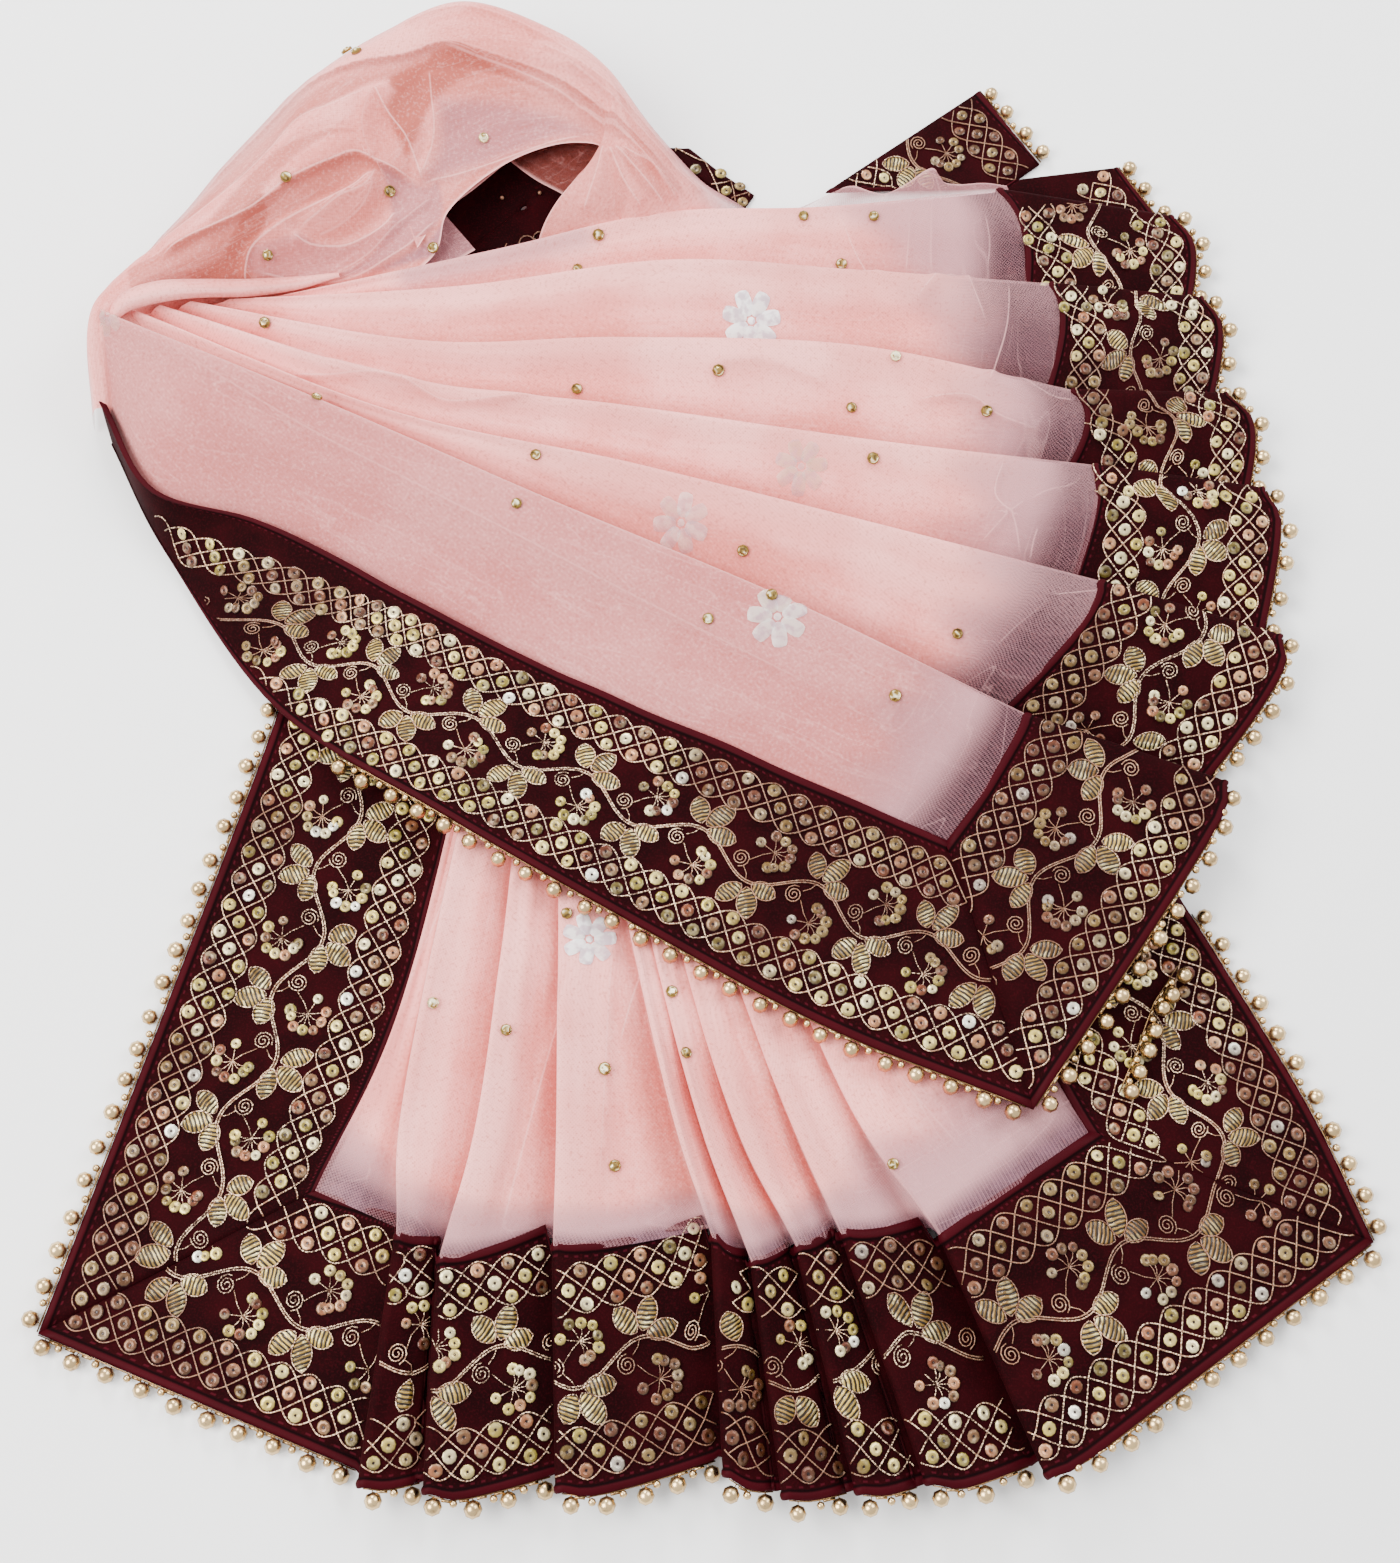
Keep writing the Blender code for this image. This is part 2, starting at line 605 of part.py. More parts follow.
def backing_strip(bm, path):
    """A thin square cord along path, the tape that carries the drops."""
    half = BACKING_SIZE / 2.0
    rings = []
    for i, point in enumerate(path):
        along = (path[min(i + 1, len(path) - 1)] - path[max(i - 1, 0)]).normalized()
        side = along.cross(Vector((0.0, 0.0, 1.0))).normalized()
        up = side.cross(along).normalized()
        corners = ((-1, -1), (1, -1), (1, 1), (-1, 1))
        rings.append([bm.verts.new(point + side * (a * half) + up * (b * half)) for a, b in corners])
    for ring, beyond in zip(rings, rings[1:]):
        for k in range(4):
            m = (k + 1) % 4
            bm.faces.new((ring[k], ring[m], beyond[m], beyond[k]))
    bm.faces.new(reversed(rings[0]))
    bm.faces.new(rings[-1])


def path_point(path, distance):
    for a, b in zip(path, path[1:]):
        span = (b - a).length
        if distance <= span:
            return a.lerp(b, distance / span), (b - a).normalized()
        distance -= span
    return path[-1].copy(), (path[-1] - path[-2]).normalized()


def bead_edging(name, edge, hem_side, over_pile=False, margin=4.0):
    """A backing strip beside a hem, with drops at an even pitch.

    edge is the hem's line of points and hem_side a plan vector out of the cloth.
    """
    clear = SEAM_GAP + BACKING_SIZE / 2.0
    outward = Vector((hem_side[0], hem_side[1], 0.0)).normalized()
    path = []
    for i, point in enumerate(edge):
        along = edge[min(i + 1, len(edge) - 1)] - edge[max(i - 1, 0)]
        side = Vector((along.y, -along.x, 0.0)).normalized()
        if side.dot(outward) < 0.0:
            side = -side
        plan = point.xy + side.xy * clear
        ground = pile_top(plan) if over_pile else FLOOR_CLEARANCE
        path.append(raised(plan, max(point.z, ground + BEAD_SMALL_RADIUS)))
    length = sum((b - a).length for a, b in zip(path, path[1:]))
    count = max(int((length - 2.0 * margin) / BEAD_PITCH) + 1, 1)
    spread = (length - 2.0 * margin) / max(count - 1, 1) if count > 1 else 0.0
    strip = bmesh.new()
    backing_strip(strip, path)
    drops = bmesh.new()
    for k in range(count):
        distance = margin + k * min(spread, BEAD_PITCH * 1.3) if count > 1 else length / 2.0
        root, along = path_point(path, distance)
        side = Vector((along.y, -along.x, 0.0)).normalized()
        if side.dot(outward) < 0.0:
            side = -side
        reach = bead_profile()[2][0]
        ground = pile_top(root + side * reach) if over_pile else FLOOR_CLEARANCE
        lift = max((ground + BEAD_LARGE_RADIUS - root.z) / reach, -0.25)
        aim = (side + Vector((0.0, 0.0, lift))).normalized()
        bead_drop(drops, root, aim)
    return fuse(name, strip, drops)


def fuse(name, strip, drops):
    """One body from the backing strip and its drops."""
    body = add_object(name, strip, BEAD_FINISH)
    cutter = add_object(name + "_drops", drops, BEAD_FINISH)
    union = body.modifiers.new("fused_drops", "BOOLEAN")
    union.operation = "UNION"
    union.solver = "EXACT"
    union.object = cutter
    cutter.hide_render = True
    cutter.display_type = "WIRE"
    return body


def panel_edge(fold, following):
    """The hem line of one panel where it shows."""
    last = isinstance(following, Mitre)
    _, _, _, run, at = panel_points(fold, following, 1.0, last)
    stop = run - 1.0 if last else run - PLEAT_RADIUS - 1.0
    return [at(stop * k / 4) for k in range(5)]


def all_bead_edgings():
    folds = (LOWER_LEFT_MITRE,) + LOWER_PLEATS + (LOWER_RIGHT_MITRE,)
    for k in range(len(folds) - 1):
        edge = panel_edge(folds[k], folds[k + 1])
        bead_edging("beads_lower_" + str(k), edge, -inward(folds[k + 1]))
    folds = (UPPER_START,) + UPPER_PLEATS + (UPPER_MITRE,)
    for k in range(len(folds) - 1):
        edge = panel_edge(folds[k], folds[k + 1])
        bead_edging("beads_upper_" + str(7 - k), edge, -inward(folds[k + 1]), over_pile=True)
    edge = [pleat_line(fold, 1.0) for fold in UPPER_CORNER]
    bead_edging("beads_upper_8", [raised(*edge[0]), raised(*edge[1])], (1.0, 0.4))
    sides = (
        ("beads_lower_left", LOWER_LEFT_HEM, LOWER_LEFT_HEM_Z, 0.22, 1.0, (-1.0, 0.0), False),
        ("beads_lower_right", LOWER_RIGHT_HEM, LOWER_RIGHT_HEM_Z, 0.12, 1.0, (1.0, 0.0), False),
        ("beads_upper_side", UPPER_SIDE_HEM, UPPER_SIDE_HEM_Z, 0.40, 0.995, (-0.5, -1.0), True),
    )
    for name, hem, heights, first, last, outward, over_pile in sides:
        edge = []
        for k in range(9):
            share = mix(first, last, k / 8)
            edge.append(raised(smooth_curve(hem, share), smooth_value(heights, share)))
        bead_edging(name, edge, outward, over_pile)
    cluster = [raised(plan, 0.0) for plan in BEAD_CLUSTER]
    bead_edging("beads_cluster", cluster, (1.0, -0.4), True, margin=2.0)


def main():
    for piece in list(bpy.data.objects):
        bpy.data.objects.remove(piece)
    lower_net()
    upper_net()
    loop_net()
    loop_velvet()
    border_end("velvet_lower_end", (LOWER_LEFT_MITRE,) + LOWER_PLEATS + (LOWER_RIGHT_MITRE,))
    border_end("velvet_upper_end", (UPPER_START,) + UPPER_PLEATS + (UPPER_MITRE,))
    left = LOWER_NET[0]
    right = LOWER_NET[-1]
    side_border("velvet_lower_left", (left.root, left.mid, left.seam), LOWER_LEFT_HEM,
                LOWER_LEFT_Z, LOWER_LEFT_HEM_Z, LOWER_NET_ROWS)
    side_border("velvet_lower_right", (right.root, right.mid, right.seam), LOWER_RIGHT_HEM,
                LOWER_RIGHT_Z, LOWER_RIGHT_HEM_Z, LOWER_NET_ROWS)
    side = UPPER_NET[-1]
    side_border("velvet_upper_side", (side.a, side.b, side.c, side.d, side.seam), UPPER_SIDE_HEM,
                (side.crest_a, side.crest_seam), UPPER_SIDE_HEM_Z, UPPER_NET_ROWS)
    upper_corner()
    all_bead_edgings()


main()
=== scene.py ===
# %% [markdown]
# # A bridal dupatta, folded in a loop and laid flat
# This lesson dresses a plain solid model of a folded stole as the real cloth: soft peach net, a wide dark velvet
# border with gold embroidery and sequins, and an edging of gold beads. The solids give the places, and each piece
# made here stands in for one or more of them. The tables are in millimetres, measured from the middle of the
# folded cloth, because a maker thinks in millimetres, and one function turns them into Blender's metres.

import random
from collections import namedtuple
from math import asin, copysign, cos, exp, pi, radians, sin, sqrt, tau

import bpy
import numpy as np
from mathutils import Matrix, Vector
from mathutils.bvhtree import BVHTree


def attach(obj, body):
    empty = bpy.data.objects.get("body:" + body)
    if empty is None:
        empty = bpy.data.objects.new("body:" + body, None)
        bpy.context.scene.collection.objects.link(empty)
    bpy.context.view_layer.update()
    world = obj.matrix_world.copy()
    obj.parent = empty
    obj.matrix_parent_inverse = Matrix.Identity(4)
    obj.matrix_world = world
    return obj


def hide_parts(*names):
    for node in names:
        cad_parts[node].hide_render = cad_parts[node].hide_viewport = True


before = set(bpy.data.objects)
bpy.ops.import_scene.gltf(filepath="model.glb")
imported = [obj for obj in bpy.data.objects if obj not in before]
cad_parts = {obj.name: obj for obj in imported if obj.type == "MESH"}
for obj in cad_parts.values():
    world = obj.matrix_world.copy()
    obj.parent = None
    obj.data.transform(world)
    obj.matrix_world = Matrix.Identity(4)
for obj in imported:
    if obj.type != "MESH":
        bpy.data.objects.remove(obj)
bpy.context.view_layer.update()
MM = 0.001
UP = Vector((0, 0, 1))
TABLE_SHIFT = Vector((-0.08, -42.66, 0))
dice = random.Random(7)


# %% [markdown]
# ## Camera, light and floor
# The cloth lies on a pale surface and is seen from above and a little from the front, so the camera looks down at
# 72 degrees. Large soft lights from two sides keep the shadows between the folds faint, as in a studio tent.
# A bright, even world fills the rest, and one stronger light gives the sequins something to reflect.

# %% Camera
VIEW_ELEVATION = radians(72)
VIEW_DISTANCE = 0.7
FRAME_HEIGHT = 1563
FOCAL_PIXELS = 1960
SENSOR = 36


def to_metres(point):
    """A place in the cloth's own millimetres, as Blender's metres."""
    return (Vector(point) + TABLE_SHIFT) * MM


def add_camera():
    data = bpy.data.cameras.new("camera")
    data.sensor_fit = "VERTICAL"
    data.sensor_height = SENSOR
    data.lens = FOCAL_PIXELS * SENSOR / FRAME_HEIGHT
    data.clip_start = 0.01
    camera = bpy.data.objects.new("camera", data)
    look = Vector((0, cos(VIEW_ELEVATION), -sin(VIEW_ELEVATION)))
    camera.location = to_metres((0, 0, 20)) - look * VIEW_DISTANCE
    camera.rotation_mode = "QUATERNION"
    camera.rotation_quaternion = look.to_track_quat("-Z", "Y")
    bpy.context.scene.collection.objects.link(camera)
    bpy.context.scene.camera = camera
    return camera


camera = add_camera()
print("lens", round(camera.data.lens, 2), "mm")

# %% Lights
Lamp = namedtuple("Lamp", "name place size power colour")
LAMPS = (
    Lamp("tent_left", (-0.9, -0.2, 1.1), 0.9, 36, (1, 0.98, 0.95)),
    Lamp("tent_right", (0.9, 0.5, 1), 0.8, 17, (0.96, 0.98, 1)),
    Lamp("window", (-0.25, 0.95, 0.75), 0.35, 12, (1, 1, 1)),
)


def add_lamp(lamp):
    data = bpy.data.lights.new(lamp.name, "AREA")
    data.size = lamp.size
    data.energy = lamp.power
    data.color = lamp.colour
    light = bpy.data.objects.new(lamp.name, data)
    light.location = lamp.place
    light.rotation_mode = "QUATERNION"
    light.rotation_quaternion = (-Vector(lamp.place)).to_track_quat("-Z", "Y")
    bpy.context.scene.collection.objects.link(light)


for lamp in LAMPS:
    add_lamp(lamp)
WORLD_STRENGTH = 1.3
world = bpy.data.worlds.new("studio")
world.use_nodes = True
background = world.node_tree.nodes["Background"].inputs
background["Color"].default_value = (1, 1, 1, 1)
background["Strength"].default_value = WORLD_STRENGTH
bpy.context.scene.world = world
print("lights:", [lamp.name for lamp in LAMPS])


# %% [markdown]
# ## Shader maths as sentences
# A procedural material is a small calculation. One class wraps a socket, so that an expression such as
# `1 - mask * 0.5` adds its own Math nodes, and one method adds any other node. Colours go through Mix nodes.

# %% The shader writer
UV_SCALE = 0.01


class Value:
    """A number in a shader, which adds Math nodes as it is calculated with."""

    def __init__(self, shader, socket):
        self.shader = shader
        self.socket = socket

    def math(self, operation, *others):
        values = [other.socket if isinstance(other, Value) else other for other in others]
        return self.shader.node("ShaderNodeMath", {"operation": operation}, [self.socket] + values)

    def __add__(self, other):
        return self.math("ADD", other)

    __radd__ = __add__

    def __sub__(self, other):
        return self.math("SUBTRACT", other)

    def __rsub__(self, other):
        return self.math("MULTIPLY", -1).math("ADD", other)

    def __mul__(self, other):
        return self.math("MULTIPLY", other)

    __rmul__ = __mul__

    def __truediv__(self, other):
        return self.math("DIVIDE", other)

    def smooth(self, low, high):
        """0 below low and 1 above high, with a soft slope between."""
        settings = {"interpolation_type": "SMOOTHSTEP"}
        return self.shader.node("ShaderNodeMapRange", settings, {0: self.socket, 1: low, 2: high})


class Shader:
    """One material, written as a list of steps."""

    def __init__(self, name, colour, roughness, metallic=0):
        self.material = bpy.data.materials.new(name)
        self.material.use_nodes = True
        self.material.diffuse_color = (*colour, 1)
        self.tree = self.material.node_tree
        self.surface = self.tree.nodes["Principled BSDF"]
        self.surface.inputs["Base Color"].default_value = (*colour, 1)
        self.surface.inputs["Roughness"].default_value = roughness
        self.surface.inputs["Metallic"].default_value = metallic
        self.places = self.tree.nodes.new("ShaderNodeTexCoord")

    def put(self, socket, value):
        if isinstance(value, Value):
            value = value.socket
        if isinstance(value, bpy.types.NodeSocket):
            self.tree.links.new(value, socket)
        else:
            socket.default_value = value

    def node(self, kind, settings, sockets, output=0):
        """Any node: its type, its settings and the values or links of its sockets."""
        made = self.tree.nodes.new(kind)
        for name, setting in settings.items():
            setattr(made, name, setting)
        pairs = enumerate(sockets) if isinstance(sockets, list) else sockets.items()
        for key, value in pairs:
            self.put(made.inputs[key], value)
        return Value(self, made.outputs[output])

    def here(self):
        return self.places.outputs["Object"]

    def attribute(self, name):
        """A number that the piece carries at each point."""
        return self.node("ShaderNodeAttribute", {"attribute_name": name}, [], output="Fac")

    def cloth_place(self):
        """Along and across the cloth in millimetres, from its own UV map."""
        along = self.node("ShaderNodeSeparateXYZ", {}, [self.places.outputs["UV"]])
        across = Value(self, along.socket.node.outputs[1])
        return along * (1 / UV_SCALE), across * (1 / UV_SCALE)

    def point(self, x, y):
        """A place for a noise, from two numbers."""
        return self.node("ShaderNodeCombineXYZ", {}, [x, y])

    def noise(self, scale, detail=2, vector=None):
        sockets = {"Vector": vector or self.here(), "Scale": scale, "Detail": detail}
        return self.node("ShaderNodeTexNoise", {}, sockets)

    def blend(self, share, first, second):
        """A colour between two colours."""
        first = first if isinstance(first, Value) else (*first, 1)
        second = second if isinstance(second, Value) else (*second, 1)
        sockets = {0: share, 6: first, 7: second}
        return self.node("ShaderNodeMix", {"data_type": "RGBA"}, sockets, output=2)

    def give(self, **inputs):
        """Sets the surface's sockets, named with underscores for spaces."""
        for name, value in inputs.items():
            self.put(self.surface.inputs[name.replace("_", " ")], value)
        return self.material

    def relief(self, height, strength, distance):
        bump = self.node("ShaderNodeBump", {}, {"Height": height, "Strength": strength, "Distance": distance})
        self.put(self.surface.inputs["Normal"], bump)


print("shader writer ready")

# %% Floor
FLOOR_SIZE = 6
FLOOR_DEPTH = 0.0002


def add_floor():
    bpy.ops.object.select_all(action="DESELECT")
    bpy.ops.mesh.primitive_plane_add(size=FLOOR_SIZE, location=(0, 0, -FLOOR_DEPTH))
    floor = bpy.context.object
    floor.name = "floor"
    shader = Shader("floor_card", (0.93, 0.93, 0.93), 0.9)
    speck = shader.noise(40)
    floor.data.materials.append(shader.give(Base_Color=shader.blend(speck, (0.92, 0.92, 0.925), (0.95, 0.95, 0.95))))
    return floor


floor = add_floor()
print("floor", tuple(floor.dimensions))


# %% [markdown]
# ## The cloth's own sizes
# The stole was pleated lengthwise and turned once. Its two ends fan out, the second one over the first, and every
# pleat shows as a raised fold with a panel running down from it and in under the next fold. So a fold is one row
# of a table: where its seam end and hem end lie, how high it stands, how far the panel before it is tucked in under
# it, and how far behind it that panel disappears. The solids use the same rows, so the cloth fits them.

# %% Curves and small sums
def mix(a, b, share):
    return a + (b - a) * share


def ease(low, high, value):
    share = min(max((value - low) / (high - low), 0), 1)
    return share * share * (3 - 2 * share)


def even_shares(count):
    """Evenly spaced shares, from 0 to 1."""
    return [k / (count - 1) for k in range(count)]


def smooth_curve(points, share):
    """A point on the smooth curve through points, share from 0 to 1."""
    spans = len(points) - 1
    place = min(max(share, 0), 1) * spans
    index = min(int(place), spans - 1)
    u = place - index
    p1 = Vector(points[index])
    p2 = Vector(points[index + 1])
    p0 = Vector(points[index - 1]) if index > 0 else p1 * 2 - p2
    p3 = Vector(points[index + 2]) if index + 2 <= spans else p2 * 2 - p1
    return 0.5 * (2 * p1 + (p2 - p0) * u + (2 * p0 - 5 * p1 + 4 * p2 - p3) * u * u
                  + (3 * p1 - p0 - 3 * p2 + p3) * u * u * u)


def smooth_value(values, share):
    return smooth_curve([(value, 0) for value in values], share).x


def raised(plan, height):
    return Vector((plan[0], plan[1], height))


def running_lengths(points):
    """How far along a line of points each of them lies."""
    far = [0]
    for a, b in zip(points, points[1:]):
        far.append(far[-1] + (Vector(b) - Vector(a)).length)
    return far


def path_length(points):
    return running_lengths(points)[-1]


def waver(x, y, wave):
    """A slow, even unevenness between -1 and 1, the same each time."""
    a = sin(x / wave + 1.3 * sin(y / (wave * 1.7) + 0.7))
    b = sin(y / (wave * 0.8) + 1.1 * sin(x / (wave * 1.3) + 2.1))
    return 0.5 * (a + b)


print("a smooth curve passes through", tuple(smooth_curve(((0, 0), (1, 2), (3, 3)), 0.5)))

# %% Folds of the two ends
Pleat = namedtuple("Pleat", "seam hem crest hem_crest tuck back")
Mitre = namedtuple("Mitre", "seam hem crest hem_crest")
LOWER_FOLDS = (
    Mitre((-132.5, -142.5), (-222, -189), 1.4, 1.4),
    Pleat((-102, -158), (-111, -239), 14, 12, 9, 6),
    Pleat((-87, -166), (-89, -242), 17, 16, 14, 7),
    Pleat((-49, -162), (-46, -241), 18, 17, 16, 8),
    Pleat((4, -159), (8, -236), 18, 17, 11, 8),
    Pleat((17, -167), (27, -242), 17, 16, 11, 4),
    Pleat((32, -162), (51, -241), 17, 16, 11, 3),
    Pleat((47, -158), (74, -239), 18, 16, 14, 3),
    Pleat((80, -159), (113, -237), 20, 18, 16, 8),
    Mitre((134, -124), (229, -159), 12.5, 1.6),
)
UPPER_FOLDS = (
    Mitre((128, 262), (170, 268), 3.6, 3.6),
    Pleat((120, 252), (193, 240), 13, 11, 10, 6),
    Pleat((138, 207), (202, 202), 16, 13, 14, 8),
    Pleat((143, 159), (208, 159), 18, 15, 14, 9),
    Pleat((149, 126), (218, 117), 20, 17, 12, 9),
    Pleat((148, 77), (218, 56), 23, 18, 14, 9),
    Pleat((117, 23), (192, -2), 28, 22, 12, 11),
    Mitre((88, -23), (113, -116), 18.5, 18.4),
)
print("folds:", len(LOWER_FOLDS) + len(UPPER_FOLDS))

# %% Side strips of the border
# Each strip runs between a seam curve and a hem curve, with a height at each.
Strip = namedtuple("Strip", "name node seam hem seam_z hem_z")
LOWER_LEFT = Strip("border_lower_left", "velvet_lower_left", ((-80, 50), (-105, -75), (-132, -142)),
                   ((-150, 60), (-160, 18), (-186, -70), (-222, -189)), (1.6, 1.8, 1.6, 1.4), (1.4, 1.6, 1.5, 1.4))
LOWER_RIGHT = Strip("border_lower_right", "velvet_lower_right", ((84, -27), (104, -68), (134, -124)),
                    ((172, -38), (184, -60), (211, -113), (229, -159)), (9, 11, 12.5, 12.5), (1.6, 1.6, 1.6, 1.6))
UPPER_SIDE = Strip("border_upper_side", "velvet_upper_side",
                   ((-228, 152), (-206, 115), (-166, 102), (-117, 76.5), (-74, 52), (-32, 32), (10, 13), (49, -5),
                    (88, -23)),
                   ((-226, 141), (-202, 96), (-156, 33), (-91, -11), (-19, -53), (45, -88), (113, -116)),
                   (20, 18.5), (7, 3, 6, 16.6, 16.6, 16.4, 18.4))
UPPER_CORNER = Strip("border_upper_corner", "velvet_upper_corner", ((52, 256.5), (125.6, 261)),
                     ((115, 304), (138.6, 271.2)), (4.6, 1.25), (4.6, 1.25))
print("strips:", [strip.name for strip in (LOWER_LEFT, LOWER_RIGHT, UPPER_SIDE, UPPER_CORNER)])


# %% [markdown]
# ## Making a sheet from its points
# Cloth has no straight edges to extrude, so each sheet is worked out as a grid of points and built as a mesh. The
# velvet gets two such grids, its face and its back, joined round the edge, and both edges swell into the round velvet
# piping that a maker sews into the seam and the hem. The UV map holds millimetres along and across the strip, so
# that a material can follow the cloth round its folds.

# %% Build a mesh
def new_piece(name, points, faces, material, smooth=True):
    """A mesh in its place, riding with the one body that the stole has. Nothing sinks below the table."""
    mesh = bpy.data.meshes.new(name)
    places = [to_metres(point) for point in points]
    mesh.from_pydata([(place[0], place[1], max(place[2], 0)) for place in places], [], faces)
    mesh.materials.append(material)
    if smooth:
        mesh.shade_smooth()
    piece = bpy.data.objects.new(name, mesh)
    bpy.context.scene.collection.objects.link(piece)
    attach(piece, "root")
    return piece


def lay_uv(piece, places):
    """Gives each point its place along and across the cloth, in millimetres."""
    layer = piece.data.uv_layers.new(name="cloth")
    order = np.zeros(len(piece.data.loops), np.int32)
    piece.data.loops.foreach_get("vertex_index", order)
    flat = np.array(places, np.float32)[order] * UV_SCALE
    layer.data.foreach_set("uv", flat.ravel())


def mark(piece, name, values):
    """A number at each point, which a material can read."""
    layer = piece.data.attributes.new(name, "FLOAT", "POINT")
    layer.data.foreach_set("value", np.array(values, np.float32))


def grid_faces(columns, rows, start=0, flip=False):
    faces = []
    for i in range(columns - 1):
        for j in range(rows - 1):
            a = start + i * rows + j
            face = (a, a + rows, a + rows + 1, a + 1)
            faces.append(face[::-1] if flip else face)
    return faces


def plan_places(grid):
    """The places of a piece that was cut to the shape it lies in."""
    return [[(point.x, point.y) for point in column] for column in grid]


def columns_of(points, rows):
    """A flat list of points, cut up again into the columns of its grid."""
    return [points[k:k + rows] for k in range(0, len(points), rows)]


def rim_places(columns, rows):
    rim = [i * rows for i in range(columns)]
    rim += [(columns - 1) * rows + j for j in range(1, rows)]
    rim += [i * rows + rows - 1 for i in range(columns - 2, -1, -1)]
    rim += list(range(rows - 2, 0, -1))
    return rim


def outward(piece):
    """Turns all faces of a closed piece outwards."""
    bpy.ops.object.select_all(action="DESELECT")
    bpy.context.view_layer.objects.active = piece
    piece.select_set(True)
    bpy.ops.object.mode_set(mode="EDIT")
    bpy.ops.mesh.select_all(action="SELECT")
    bpy.ops.mesh.normals_make_consistent(inside=False)
    bpy.ops.object.mode_set(mode="OBJECT")
    piece.select_set(False)


def faces_of_grid(grid):
    """The face and the normal at each point of a grid of columns."""
    columns = len(grid)
    rows = len(grid[0])
    normals = []
    for i in range(columns):
        for j in range(rows):
            before = grid[max(i - 1, 0)][j]
            after = grid[min(i + 1, columns - 1)][j]
            here = grid[i][j]
            along = (after - here).normalized() + (here - before).normalized()
            across = grid[i][min(j + 1, rows - 1)] - grid[i][max(j - 1, 0)]
            normals.append(across.cross(along).normalized())
    return normals


def thick_sheet(name, grid, halves, places, material):
    """A closed sheet round the grid, with half a thickness for each row."""
    columns = len(grid)
    rows = len(grid[0])
    normals = faces_of_grid(grid)
    middle = [point for column in grid for point in column]
    face = [p + n * halves[k % rows] for k, (p, n) in enumerate(zip(middle, normals))]
    back = [p - n * halves[k % rows] for k, (p, n) in enumerate(zip(middle, normals))]
    count = columns * rows
    faces = grid_faces(columns, rows) + grid_faces(columns, rows, count, flip=True)
    rim = rim_places(columns, rows)
    for a, b in zip(rim, rim[1:] + rim[:1]):
        faces.append((a, b, count + b, count + a))
    piece = new_piece(name, face + back, faces, material)
    outward(piece)
    lay_uv(piece, [place for column in places for place in column] * 2)
    upper = sum(normal.z for normal in normals) > 0
    return piece, face if upper else back


print("sheet tools ready")


# %% [markdown]
# ## Velvet
# Velvet looks dark where one looks into the pile and catches light where the pile turns away, so its material has a
# sheen over a nearly black maroon. The nap is pressed unevenly, which a slow noise shows. The piping is cut
# from a brighter, silkier strip, and a broken line of stitches runs beside it.

# %% Velvet finish
BORDER_WIDTH = 75
PIPING_WIDTH = 2
STITCH_LINE = 3.6
STITCH_LENGTH = 3.4


def velvet_material():
    shader = Shader("maroon_velvet", (0.018, 0.0007, 0.0016), 0.85)
    along, across = shader.cloth_place()
    nap = shader.noise(55, 3)
    fluff = shader.noise(1400, 2)
    pile = shader.blend(nap.smooth(0.35, 0.7), (0.0066, 0.0002, 0.0006), (0.0155, 0.0005, 0.0013))
    pile = shader.blend(fluff.smooth(0.45, 0.75) * 0.5, pile, (0.03, 0.001, 0.0028))
    from_edge = across.math("MINIMUM", BORDER_WIDTH - across)
    piping = 1 - from_edge.smooth(PIPING_WIDTH - 0.4, PIPING_WIDTH + 0.4)
    silk = shader.blend(nap, (0.02, 0.0008, 0.0022), (0.042, 0.0018, 0.0048))
    colour = shader.blend(piping, pile, silk)
    dash = (along / STITCH_LENGTH).math("FRACT").math("SUBTRACT", 0.5).math("ABSOLUTE").smooth(0.28, 0.33)
    line = 1 - (from_edge - STITCH_LINE).math("ABSOLUTE").smooth(0.2, 0.45)
    colour = shader.blend(dash * line * 0.3, colour, (0.1, 0.008, 0.018))
    # The groove between the piping and the flat velvet is darkened in the colour: painted shade.
    painted_groove_shade = (from_edge - PIPING_WIDTH - 0.5).math("ABSOLUTE").smooth(0, 0.7)
    colour = shader.blend(1 - painted_groove_shade, colour, (0.0035, 0.0004, 0.0008))
    shader.relief(fluff * 0.6 + nap * 0.4, 0.35, 0.0004)
    shader.give(Base_Color=colour, Roughness=0.8 - piping * 0.25, Sheen_Weight=0.03, Sheen_Roughness=0.35,
                Sheen_Tint=(0.62, 0.1, 0.16, 1), Specular_IOR_Level=0.04)
    return shader.material


VELVET = velvet_material()
print("velvet:", VELVET.name)

# %% Rows across a border
# The share of the width and half the thickness there: round piping, a groove, then the flat velvet.
PIPING_ROWS = ((-0.007, 0.3), (-0.003, 0.7), (0.004, 0.95), (0.014, 1.1), (0.024, 1), (0.032, 0.72), (0.038, 0.5))
FLAT_ROWS = tuple((0.07 + 0.86 * k / 13, 0.62) for k in range(14))
BORDER_ROWS = PIPING_ROWS + FLAT_ROWS + tuple((1 - share, half) for share, half in reversed(PIPING_ROWS))
HALVES = [half for _, half in BORDER_ROWS]


def cut_places(along):
    """Where each point of a strip was on the velvet when it was cut."""
    return [[(s, share * BORDER_WIDTH) for share, _ in BORDER_ROWS] for s in along]


print("rows across:", len(BORDER_ROWS))


# %% [markdown]
# ## The pleated ends of the border
# One strip of velvet goes through all the pleats of an end: over a fold's soft nose, down its panel, in under the next
# fold, and back up in a hidden turn. Walking the same path for each row across the strip gives a grid whose
# columns follow the cloth. The panels that show are kept as they are made, because the embroidery is laid on them.

